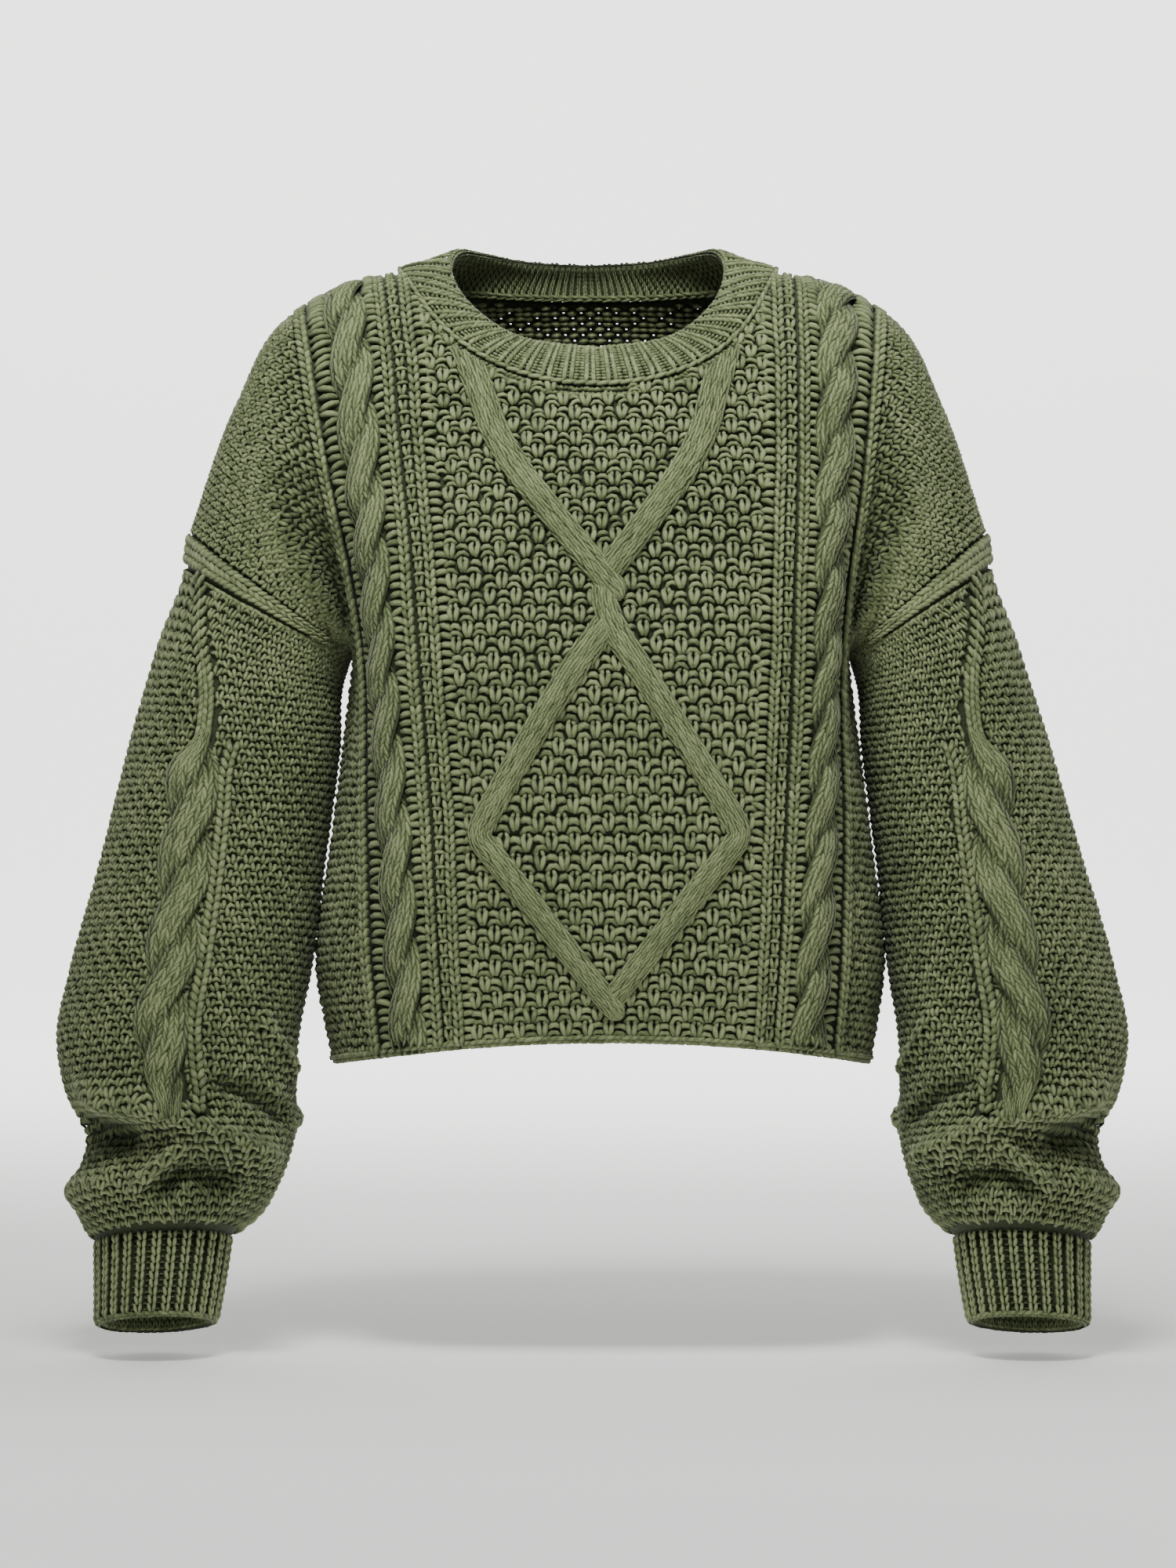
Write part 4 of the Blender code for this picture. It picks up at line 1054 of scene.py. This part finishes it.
def moss(knit, cloth, face):
    """Moss stitch in the middle: tall V's and pairs of purl arcs, place by place."""
    rows, depths = moss_rows()
    c, r = grid(np.arange(-MOSS_WALES, MOSS_WALES + 1), np.arange(len(rows)))
    narrow = 0.88 + 0.12 * smooth_step((rows[r] - 130) / 90)  # drawn in below the neck
    u = c * MOSS_WALE * narrow + wobble(c * 7.0, r * 9.0)
    v = rows[r] + 0.8 * wobble(r * 11.0, c * 8.0)
    keep = (np.abs(u) < MOSS_EDGE) & (v < HEM - HEM_EDGE - 1) & below_neck(face, u, v, 2)
    if face == FRONT:
        at = np.stack([u, v], axis=1)
        for route, _ in band_routes():
            keep &= distance_to_route(at, route)[0] > BAND_HALF - 4.3
    else:
        keep &= (np.abs(u) > NAPE_HALF) | (v > NAPE_FOOT)
    u, v, even, h = u[keep], v[keep], ((c + r) % 2 == 0)[keep], depths[r][keep]
    detail = ROUND if face == FRONT else PLAIN
    tall, at = h[even], (u[even], v[even])
    leg = ((2.5, -0.14 * tall - 3.0, -0.9), (2.4, -0.3, 1.8), (0.4, 0.22 * tall + 3.0, -1.2))
    knob = ((0.9, -0.44 * tall - 1.6, -1.2), (2.6, -0.42 * tall, 1.4),
            (1.6, -0.38 * tall + 2.2, -1.2))
    for sign in (-1, 1):
        lay(knit, cloth, *at, mirrored(leg, sign), 1.9, 1.5, 0.0, detail, 0.4, 0.04)
        lay(knit, cloth, *at, mirrored(knob, sign), 1.5, 1.3, -0.4, PLAIN, 0.35)
    tall, at = h[~even], (u[~even], v[~even])
    bump = arc(3.9, 0.02 * tall, -1.4, -0.56 * tall, 1.7)
    arch = arc(5.0, 0.62 * tall, -1.3, -0.24 * tall, 1.1)
    lay(knit, cloth, *at, bump, 0.2 * tall, 1.5, 0.0, ROUND, 0.45, 0.02, jolt(tall))
    lay(knit, cloth, *at, arch, 0.18 * tall, 1.4, -0.2, detail, 0.45, -0.04, jolt(tall))


def ladder(knit, cloth, line, v):
    """A column of small V's, with an arc and a hole under each."""
    room = np.clip(cloth.frame(line, v)[4], 1.0, 1.3)
    path = ((1.9, -4.2, -0.9), (1.9, 0.2, 1.1), (0.4, 3.2, -0.8))
    lay_pair(knit, cloth, line, v, path, 1.6 * room, 1.3, 0.3, PLAIN, 0.2)
    path = arc(4.4 * room, 5.4, -1.6, 1.9, 0.9)
    lay(knit, cloth, line, v, path, 1.4, 1.3, 0.1, ROUND, 0.25)


CAP_FOOT = 262.0


def seed_row(knit, cloth, sign, start, length, row, wide, tall, detail, across):
    """One row of a panel's side, its stitches evenly apart over the cloth."""
    fine = np.linspace(start, EDGE - 0.5, 140)
    line = cloth.place(sign * fine, same(length, fine))
    walked = walk(line)
    count = max(1, int(walked[-1] / wide))
    pitch = walked[-1] / count
    u = sign * np.interp((np.arange(count) + 0.5) * pitch, walked, fine)
    v = length + 0.9 * wobble(u, length * 1.3)
    parity = same(row, u) if across else np.arange(count) + row
    room = cloth.frame(u, v)[5] * tall
    slant = same(0.4 * sign * (length < CAP_FOOT), u)
    # Painted shade in the valley between the sleeve and the body, over lengths of about 110 to 330,
    # fading out from 220 to 265 across.
    valley_shade = smooth_step((length - 110) / 60) * smooth_step((330 - length) / 60)
    shade = -0.16 * valley_shade * smooth_step((265 - np.abs(u)) / 45)
    seed(knit, cloth, u, v, parity, same(pitch, u), room, slant, detail, shade)


def side_seed(knit, cloth, start, detail):
    """Seed stitch from beside the last rib out to the armhole and the side seam: large and
    in whole rows over the cap, small and mixed below it."""
    for sign in (-1, 1):
        for start_at, end, wide, tall, across in ((5.0, CAP_FOOT, 5.7, 5.8, True),
                                                  (CAP_FOOT + 2, HEM - HEM_EDGE, 5.6, 5.2, False)):
            for row, length in enumerate(np.arange(start_at, end, tall)):
                seed_row(knit, cloth, sign, start, length, row, wide, tall, detail, across)


def panel_columns(knit, cloth, face):
    """Ribs, ladders and gutters down both sides of a panel."""
    for sign in (-1, 1):
        for line in RIB_LINES:
            v = np.arange(6.0, HEM - HEM_EDGE, 5.4)
            v = v + rng.normal(0, 0.15, len(v))
            u = sign * line + 0.4 * wobble(v, v * 0 + line)
            keep = below_neck(face, u, v, 3)
            u, v = u[keep], v[keep]
            lift = (RIB_RAISE + 0.6) * smooth_step(v / 40) - 0.8
            knit_column(knit, cloth, u, v, 5.4, 2.45, 1.85, lift)
        v = np.arange(8.0, HEM - HEM_EDGE - 2, 9.0)
        ladder(knit, cloth, same(sign * LADDER_LINE, v), v)
        for line, wide in GUTTERS:
            v = np.arange(4.0, HEM - HEM_EDGE, 5.3)
            v = v[below_neck(face, same(line, v), v, 2)]
            bump_column(knit, cloth, sign * line + 0.3 * wobble(v, v), v, wide, 2.2, 0.4, -0.02)


def edge_cord(knit, cloth, u, v, pitch, half, lift, tilt, shade=0.0):
    """A cord of overlapping legs along an edge."""
    path = leg(0.72 * pitch, -tilt, -0.7, 0.6)
    lay(knit, cloth, u, v, path, half, half * 0.9, lift, PLAIN, 0.15, shade)


def hem(knit, cloth):
    """The bound-off edge: a chain of legs along it, and another round under it."""
    u = np.arange(-EDGE + 3, EDGE - 2, 5.6)
    for shift, rise, half, lift, tilt in ((0, 3.4, 1.7, 0.1, 0.9), (2.8, 0.9, 1.8, -1.6, -0.7),
                                          (0, 0.6, 1.6, -3.4, 0.7)):
        edge_cord(knit, cloth, u + shift, same(HEM - rise, u), 5.6, half, lift, tilt)


def neck_row(knit, cloth, face):
    """Close bumps along the neck's edge, between the neckband and the first whole row."""
    u, v = neck_curve(face, 62)[2:-2].T
    u, v = (np.concatenate([k, 0.5 * (k[1:] + k[:-1])]) for k in (u, v))
    path = arc(3.4, 0.8, -1.4, -1.0, 1.0)
    for drop in (2.6, 6.4):
        lay(knit, cloth, u, v + drop, path, 1.9, 1.4, -0.8, COARSE, 0.4, -0.06)


def nape(knit, cloth):
    """The open stitches below the back of the neck, seen from both sides."""
    u, v = NAPE[NAPE[:, 2] == 0, :2].T
    path = arc(3.2, 0.9, -1.5, -1.0, 0.9)
    # Painted light: the nape's stitches, outside and on the lining, are made lighter against the
    # shade at the back of the neck.
    lay(knit, cloth, u, v, path, 1.6, 1.3, 0.0, PLAIN, 0.3, 0.08)
    inside = cloth.lining()
    lay(knit, inside, u, v, path, 2.05, 1.3, 1.0, PLAIN, 0.4, 0.12)
    c, r = grid(np.arange(-18, 19), np.arange(4, 36))
    u, v = c * NAPE_WALE + (r % 2) * NAPE_WALE / 2, r * NAPE_ROW * 1.25
    keep = below_neck(BACK, u, v, 4) & ((v > NAPE_FOOT) | (np.abs(u) > NAPE_HALF)) & (v < 165)
    lay(knit, inside, u[keep], v[keep], path, 1.7, 1.2, 0.9, COARSE, 0.3, 0.0)


def panel(face, name):
    cloth = Cloth(lambda u, v: panel_point(face, u, v), face)
    base = panel_shell(face, name + "_cloth")
    middle, sides, cords = Knit(), Knit(), Knit()
    moss(middle, cloth, face)
    neck_row(middle, cloth, face)
    panel_columns(cords, cloth, face)
    side_seed(sides, cloth, 172.5, PLAIN if face == FRONT else COARSE)
    hem(cords, cloth)
    cores = []
    for sign in (-1, 1):
        rope = Rope(cloth, lambda v, s=sign: same(s * CABLE_LINE, v), CABLE_TURN, CABLE_HALF,
                    lambda v: CABLE_RAISE * (0.12 + 0.88 * smooth_step(v / 34)),
                    1 if face == FRONT else -1)
        rope.knit(cords, 7, HEM - HEM_EDGE, 6, ROPE_ROW)
        cores.append(rope.core(2, HEM - 3, 5))
    if face == FRONT:
        for route, tucked in band_routes():
            band = Band(cloth, route, BAND_HALF, BAND_RAISE, tucked)
            band.knit(middle, 9, BAND_ROW)
            cores.append(band.core())
    else:
        nape(middle, cloth)
    pieces = [middle.build(name + "_moss", YARN), sides.build(name + "_seed", YARN),
              cords.build(name + "_cables", YARN), core_mesh(name + "_core", cores)]
    return base, pieces


def core_mesh(name, cores):
    points, faces = joined(cores)
    return plain_mesh(name, points, faces, front_plan(points, 0.96), 0.6)


# Sleeves and cuffs
SLEEVE_WALES = 80
COLUMN_OFF = 20.4  # a column of V's runs this far inside the cable's middle
JOIN_LINES, JOIN_CORD = (2.6, 6.0, 9.6), 15.0  # the rounds of the armhole's band, by length
CUFF_LEGS = 46  # round the cuff's edge


def sleeve_cloth(side):
    def place(angle, length):
        base = sleeve_point(side, SLEEVE, angle, length)
        within = np.clip(length, 0.5, SLEEVE_END - 0.5)
        facing = normals(lambda a, b: sleeve_point(side, SLEEVE, a, b), angle, within, -side)
        return leant(base) + facing * fold_height(np.mod(angle, 360), length)[:, None]

    return Cloth(place, -side)


def sleeve(side, name):
    cloth = sleeve_cloth(side)

    def facing(angle, length, normal):
        head, tail = length <= 0, length >= SLEEVE_END
        normal = normal.copy()
        normal[head] = join_direction(side, angle[head])
        axis = section_axis(side, np.array(SLEEVE[-1], float))
        normal[tail] = unit(normal[tail] - (normal[tail] @ axis)[:, None] * axis)
        return normal

    def ground(angle, length):
        off = (angle - cable_line(length)) / 360 * GIRTH
        w = np.clip(off / SLEEVE_CABLE_HALF, -1, 1)
        start, end = SLEEVE_CABLE_ENDS
        grown = smooth_step((length - start) / 30) * smooth_step((end - length) / 40)
        height = 2.2 * np.sqrt(1 - w**2) * grown
        stem = ridge_height(np.abs(off), STEM_HALF, 0, 1.6) * (length <= start + 10)
        plain = smooth_step((from_underarm(angle) - JOIN_PLAIN) / JOIN_PLAIN)
        join = ridge_height(np.abs(length - 6), 8, 3, 1.8) * plain
        return np.maximum(np.maximum(height, stem), join)

    half = [180 * (1 - r / UNDERARM) for r in np.linspace(276, 0, 21)]
    angles = np.array(half + [360 - a for a in reversed(half[:-1])])
    rows = np.concatenate([(0, 3, 7, 11, 15), np.arange(22, 300, 9.0), np.arange(300, 400, 2.9),
                           (403, 409, 414, 418)])
    base = tube_shell(name + "_cloth", cloth, angles, rows, ground, facing)

    seeds, cords = Knit(), Knit()
    start, end = SLEEVE_CABLE_ENDS
    for row, length in enumerate(np.arange(2.0, SLEEVE_END - 1, 5.0)):
        angle = (np.arange(SLEEVE_WALES) + 0.5) * 360 / SLEEVE_WALES
        v = length + 0.9 * wobble(angle * 1.7, length)
        wide, tall = cloth.frame(angle, v)[4:]
        off = (angle - cable_line(v)) * wide
        near = STEM_HALF + 1.5 + 4.0 * smooth_step((v - start) / 30) * (v < end)
        keep = (np.abs(off) > near) | (v > end - 4)
        column = (np.abs(off + COLUMN_OFF) < 3.3) & (v > start + 4) & (v < end + 6)
        top = from_underarm(angle) > JOIN_PLAIN + 12
        keep &= ~column & ~(top & (v < 16))
        front = (angle > 18) & (angle < 200)
        pitch = wide * 360 / SLEEVE_WALES
        tall = 5.0 * np.clip(tall, 0.9, 2.4)
        number = np.arange(SLEEVE_WALES) + row
        for chosen, detail in ((front & keep, PLAIN), (~front & keep, COARSE)):
            # Painted shade and highlight: seeds are darker in the folds' troughs and a little
            # lighter on their ridges, and darker on the front of the sleeve near the underarm,
            # where it faces the body.
            deep = np.clip(0.014 * fold_height(angle[chosen], v[chosen]), -0.15, 0.04)
            deep -= 0.1 * smooth_step((60 - angle[chosen]) / 45)
            seed(seeds, cloth, *(k[chosen] for k in (angle, v, number, pitch, tall)),
                 np.zeros(chosen.sum()), detail, deep)

    v = np.arange(start + 8, end + 6, 5.5)
    wide = cloth.frame(cable_line(v), v)[4]
    knit_column(cords, cloth, cable_line(v) - COLUMN_OFF / wide, v, 5.5, 2.6, 1.9, 1.0)
    for k, off in enumerate((-3.2, 0.0, 3.2)):
        v = np.arange(13.0 + 2.4 * (k % 2), start + 8, 4.8)
        wide = cloth.frame(cable_line(v), v)[4]
        tilt = 0.7 if k % 2 else -0.7
        path = leg(-tilt, 4.2, -0.7, 0.5)
        lay(cords, cloth, cable_line(v) + off / wide, v, path, 2.0, 1.5,
            STEM_RAISE - 1.2 - 0.4 * abs(off) / 3.2)
    for k, line in enumerate(JOIN_LINES):
        angle = np.arange(JOIN_PLAIN + 4 + 2 * (k % 2), 360 - JOIN_PLAIN - 4, 4.2)
        stretch = np.clip(cloth.frame(angle, line)[5], 0.4, 1.8)
        tilt = 1.7 * stretch * (1 if k % 2 else -1)
        path = leg(3.9, -tilt, -1.2, 0.7)
        lay(cords, cloth, angle, line, path, 1.75 * stretch, 1.6, JOIN_RAISE - 1.6,
            PLAIN, 0.3, 0.05)
    angle = np.arange(JOIN_PLAIN, 360 - JOIN_PLAIN, 5.0)
    edge_cord(cords, cloth, angle, JOIN_CORD, 5.4, 1.6, -0.6, 0.5)

    def grown(v):
        return 0.35 + 0.65 * smooth_step((v - start + 4) / 30) * smooth_step((end + 6 - v) / 36)

    rope = Rope(cloth, cable_line, SLEEVE_TURN, SLEEVE_CABLE_HALF,
                lambda v: SLEEVE_CABLE_RAISE * grown(v), -1, grown)
    rope.knit(cords, start - 2, end + 4, 7, ROPE_ROW)
    core = core_mesh(name + "_core", [rope.core(start - 4, end + 2, 5)])
    return base, [seeds.build(name + "_seed", YARN), cords.build(name + "_cables", YARN), core]


def cuff(side, name):
    cloth = Cloth(lambda a, l: leant(sleeve_point(side, CUFF, a, l)), -side)
    axis = section_axis(side, np.array(CUFF[0], float))

    def facing(angle, length, normal):
        return unit(normal - (normal @ axis)[:, None] * axis)

    angles = np.linspace(0, 360, 4 * CUFF_RIBS + 1)

    def ground(angle, length):
        return 0.9 * CUFF_RIB_RAISE * (0.5 + 0.5 * np.cos(np.radians(angle * CUFF_RIBS)))

    base = tube_shell(name + "_cloth", cloth, angles, np.linspace(0.3, CUFF_END, 6), ground, facing)
    knit = Knit()
    rib = 360 / CUFF_RIBS
    for k in range(CUFF_RIBS):
        v = np.arange(2.5, CUFF_END - 2, 5.0)
        scale = cloth.frame(k * rib, v)[4] * rib / 9.3
        path = ((2.1 * scale, -3.1, -0.6), (1.9 * scale, 0.1, 0.7), (1.0 * scale, 3.0, -0.6))
        lay_pair(knit, cloth, same(k * rib, v), v, path, 1.5 * scale, 1.3, CUFF_RIB_RAISE - 0.8,
                 PLAIN, 0.15, 0.12)
        v = np.arange(1.5, CUFF_END - 1, 3.6)
        path = arc(2.0, 0.5, -1.2, -0.8, 0.2)
        lay(knit, cloth, same((k + 0.5) * rib, v), v, path, 0.95, 0.9, -0.8, COARSE, 0.2, -0.15)
    angle = np.arange(CUFF_LEGS) * 360 / CUFF_LEGS
    edge_cord(knit, cloth, angle, CUFF_END - 1.2, 5.2, 1.6, 0.6, 0.8)
    edge_cord(knit, cloth, angle + 3, CUFF_END - 0.3, 5.2, 1.7, -1.6, -0.6)
    inside = cloth.lining()
    edge_cord(knit, inside, angle, CUFF_END - 1.0, 5.0, 1.5, -0.3, 0.6)
    for k in range(2 * CUFF_RIBS):
        v = np.arange(CUFF_END - 34, CUFF_END - 3, 5.0)
        knit_column(knit, inside, same((k + 0.5) * rib / 2, v), v, 5.0, 1.5, 1.0, 0.2, COARSE)
    return base, [knit.build(name + "_ribs", YARN)]


# Neckband
RIB_STEP, BAND_TALL = 14.4, 32.0
BAND_ROUND = RIB_STEP * NECKBAND_RIBS


def collar_lines():
    """The neckband's seam, middle and top lines round the neck, and the way it faces."""
    half = NECKBAND_RIBS // 2
    seam, facing = [], []
    for face, count in ((FRONT, half + 3), (BACK, half - 3)):
        curve = neck_curve(face, RIB_POINTS * count + 1)
        if face == BACK:
            curve = curve[::-1]
        places = curve[:-1]
        seam.append(panel_point(face, places[:, 0], places[:, 1]))
        facing.append(panel_normals(face, places))
    seam, facing = np.vstack(seam), np.vstack(facing)
    facing = unit(facing + np.roll(facing, 1, axis=0) + np.roll(facing, -1, axis=0))
    middle = seam[:, 0] - (leant(seam) - seam)[:, 0]
    ahead = -seam[:, 1] / np.where(seam[:, 1] < 0, NECK_FRONT, NECK_BACK)
    plan = np.degrees(np.arctan2(np.abs(middle) / NECK_OUT, ahead))
    turn = np.radians(plan)
    deep = np.where(plan < 90, COLLAR_FRONT, COLLAR_BACK)
    height = smooth(COLLAR_ANGLE, COLLAR_HEIGHT, plan)[:, 0]
    out = np.sign(middle) * COLLAR_OUT * np.sin(turn)
    top = leant(np.stack([out, -deep * np.cos(turn), height], axis=1))
    rise = top - seam
    inward = square_to(rise, facing)
    low = seam + SEAM * inward
    around = unit(np.roll(seam, -1, axis=0) - np.roll(seam, 1, axis=0))
    band_facing = unit(np.cross(rise, around))
    band_facing *= np.sign(np.sum(band_facing * facing, axis=1, keepdims=True))
    centre = low + 0.5 * (top - low) + band_facing * NECKBAND_SWELL
    return low, centre, top, band_facing


def collar_cloth():
    low, centre, top, facing = collar_lines()
    count = len(low)
    lines = np.stack([low, centre, top], axis=1).reshape(count, 9)
    lines = np.vstack([lines, lines[:1]])
    knots = np.arange(count + 1) * RIB_STEP * NECKBAND_RIBS / count

    def place(u, v):
        u = np.mod(u, BAND_ROUND)
        found = np.stack([np.interp(u, knots, lines[:, k]) for k in range(9)], axis=1)
        a, b, c = found[:, :3], found[:, 3:6], found[:, 6:]
        s = (v / BAND_TALL)[:, None]
        return a * (1 - s) * (1 - 2 * s) + 4 * b * s * (1 - s) + c * s * (2 * s - 1)

    cloth = Cloth(place, 1)
    u = knots[:-1]
    normal = cloth.frame(u, np.full(count, BAND_TALL / 2))[1]
    if np.sum(normal * facing) < 0:
        cloth.flip = -1
    return cloth


def neckband():
    cloth = collar_cloth()
    knit = Knit()
    ribs = np.arange(NECKBAND_RIBS)
    crest = (ribs + 0.1) * RIB_STEP
    row = np.arange(4.2, BAND_TALL - 3, 3.9)
    u, v = grid(crest, row)
    wide = cloth.frame(u, v)[4]
    for sign in (-1, 1):
        lean = sign * 0.4 * wide
        path = ((lean, -4.4, -0.4), (0.1 * wide, 0, 0.35), (-lean, 4.4, -0.4))
        lay(knit, cloth, u + sign * 2.25, v, path, 1.85 * wide, 1.45, BAND_RIB_RAISE - 1.0,
            PLAIN, 0.1)
    row = np.arange(1.4, BAND_TALL - 1, 2.7)
    u, v = grid(crest, row)
    path = arc(1.5, 0.3, -0.7, -0.4, 0.3)
    lay(knit, cloth, u, v, path, 0.85, 0.8, BAND_RIB_RAISE - 1.3, COARSE, 0.1, -0.1)
    row = np.arange(1.2, BAND_TALL - 0.5, 2.4)
    u, v = grid(crest + 0.5 * RIB_STEP, row)
    wide = cloth.frame(u, v)[4]
    path = ((4.4 * wide, 0.8, -0.9), (2.4 * wide, -1.1, 0.9), (0, 0.6, -0.6))
    lay_pair(knit, cloth, u, v, path, 1.3, 1.1, 0.1, COARSE, 0.2, 0.03)
    u = np.arange(0, BAND_ROUND, 7.2)
    edge_cord(knit, cloth, u, 0.2, 7.0, 1.6, 1.5, 0.9, 0.05)
    u = np.arange(0, BAND_ROUND, 4.8)
    path = arc(2.8, 0.4, -0.5, -0.3, 0.5)
    for drop, lift in ((1.2, 0.3), (0.4, -1.5), (0.9, -3.4)):
        lay(knit, cloth, u + lift, BAND_TALL - drop, path, 1.35, 1.2, lift, PLAIN, 0.15)
    inside = cloth.lining()
    for shift in (0.18, 0.52, 0.85):
        v = np.arange(3.0, BAND_TALL - 2, 4.4)
        uu, vv = grid((ribs + shift) * RIB_STEP, v)
        wide = inside.frame(uu, vv)[4]
        path = ((0.9, -2.9, -0.4), (0.8, 0, 0.6), (0.4, 2.8, -0.4))
        lay_pair(knit, inside, uu, vv, path, 0.95 * wide, 1.1, 0.6, COARSE, 0.1, -0.04)
    u = np.arange(0, BAND_ROUND, 6.5)
    edge_cord(knit, inside, u, 0.3, 6.5, 1.4, 1.2, 0.9, -0.1)
    edge_cord(knit, inside, u + 3, -2.2, 6.5, 1.3, 0.6, -0.9, -0.1)

    angles = np.linspace(0, BAND_ROUND, 4 * NECKBAND_RIBS + 1)

    def ground(u, v):
        phase = (u / RIB_STEP - 0.1) % 1.0
        return 1.2 * np.clip(1.6 - 5.2 * np.minimum(phase, 1 - phase), 0, 1)

    base = tube_shell("neckband_cloth", cloth, angles, np.linspace(0, BAND_TALL, 6), ground)
    return base, [knit.build("neckband_ribs", YARN)]


def put(node, base, pieces, slot):
    """Stands a shell and its stitches for a node of the part."""
    for piece in [base] + pieces:
        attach(piece, "root")
    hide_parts(node)


for face, node in ((FRONT, "front"), (BACK, "back")):
    put(node, *panel(face, node), "body_knit")
for side, word in ((LEFT, "left"), (RIGHT, "right")):
    put("sleeve_" + word, *sleeve(side, "sleeve_" + word), "sleeve_knit")
    put("cuff_" + word, *cuff(side, "cuff_" + word), "rib_knit")
put("neckband", *neckband(), "rib_knit")

# Stage, lights and camera
FLOOR = -0.684  # metres, as all of the stage
PAPER = (0.84, 0.835, 0.825, 1)
CURVE_START, CURVE_SIZE = 3.5, 1.2  # where the floor turns up, and the radius of the turn
HALF_WIDTH, FRONT_END, TOP_END = 6.0, -4.0, 5.0
# The paper's glow, painted light, as (from, to, least, most) along Y: brighter behind and in front.
GLOWS = ((0.1, 2.8, 0.26, 2.1), (0.1, -0.7, 0.0, 0.95))
CAMERA_BACK, CAMERA_HEIGHT, FRAME_TALL, SENSOR = 3.2, -0.325, 1.0, 36


def paper():
    """Pale paper with a painted glow, strongest where it stands up as the wall behind, and brighter
    on the floor in front.
    """
    material, nodes, links, shader = new_material("paper")
    for word in ("Base Color", "Emission Color"):
        shader.inputs[word].default_value = PAPER
    shader.inputs["Roughness"].default_value = 0.9
    place = nodes.new("ShaderNodeTexCoord")
    split = nodes.new("ShaderNodeSeparateXYZ")
    links.new(place.outputs["Object"], split.inputs["Vector"])
    glow = nodes.new("ShaderNodeMath")
    glow.operation = "ADD"
    for socket, limits in zip(glow.inputs, GLOWS):
        part = nodes.new("ShaderNodeMapRange")
        part.interpolation_type = "SMOOTHSTEP"
        for word, number in zip(("From Min", "From Max", "To Min", "To Max"), limits):
            part.inputs[word].default_value = number
        links.new(split.outputs["Y"], part.inputs["Value"])
        links.new(part.outputs["Result"], socket)
    links.new(glow.outputs["Value"], shader.inputs["Emission Strength"])
    return material


def backdrop():
    """A pale floor that curves up into a wall behind."""
    profile = [(FRONT_END, FLOOR)]
    for k in range(13):
        turn = math.radians(7.5 * k)
        rise = CURVE_SIZE * (1 - math.cos(turn))
        profile.append((CURVE_START + CURVE_SIZE * math.sin(turn), FLOOR + rise))
    profile.append((CURVE_START + CURVE_SIZE, TOP_END))
    points = [(x, y, z) for y, z in profile for x in (-HALF_WIDTH, HALF_WIDTH)]
    faces = [(2 * k, 2 * k + 1, 2 * k + 3, 2 * k + 2) for k in range(len(profile) - 1)]
    mesh = bpy.data.meshes.new("backdrop")
    mesh.from_pydata(points, [], faces)
    mesh.shade_smooth()
    mesh.materials.append(paper())
    add_object("backdrop", mesh)


def lamp(name, place, target, size, power, spread=180):
    data = bpy.data.lights.new(name, "AREA")
    data.shape = "RECTANGLE"
    data.size, data.size_y = size
    data.energy = power
    data.spread = math.radians(spread)
    light = add_object(name, data)
    light.location = place
    light.rotation_euler = (Vector(target) - Vector(place)).to_track_quat("-Z", "Y").to_euler()


backdrop()
lamp("key", (-0.1, -0.9, 1.2), (0, -0.1, -0.02), (0.6, 0.5), 3.5, 50)
lamp("fill", (1.6, -2.8, 0.2), (0, 0, -0.35), (2.0, 2.0), 2)
lamp("wall", (0, 2.6, 2.2), (0, 4.6, -0.2), (4.0, 1.5), 60)

world = bpy.data.worlds.new("studio")
world.use_nodes = True
sky = world.node_tree.nodes["Background"].inputs
sky["Color"].default_value = (1, 1, 1, 1)
sky["Strength"].default_value = 0.05
bpy.context.scene.world = world

camera_data = bpy.data.cameras.new("camera")
camera_data.sensor_fit = "VERTICAL"
camera_data.sensor_height = SENSOR
camera_data.lens = SENSOR * CAMERA_BACK / FRAME_TALL
camera = add_object("camera", camera_data)
camera.location = (0, -CAMERA_BACK, CAMERA_HEIGHT)
camera.rotation_euler = (math.radians(90), 0, 0)
bpy.context.scene.camera = camera
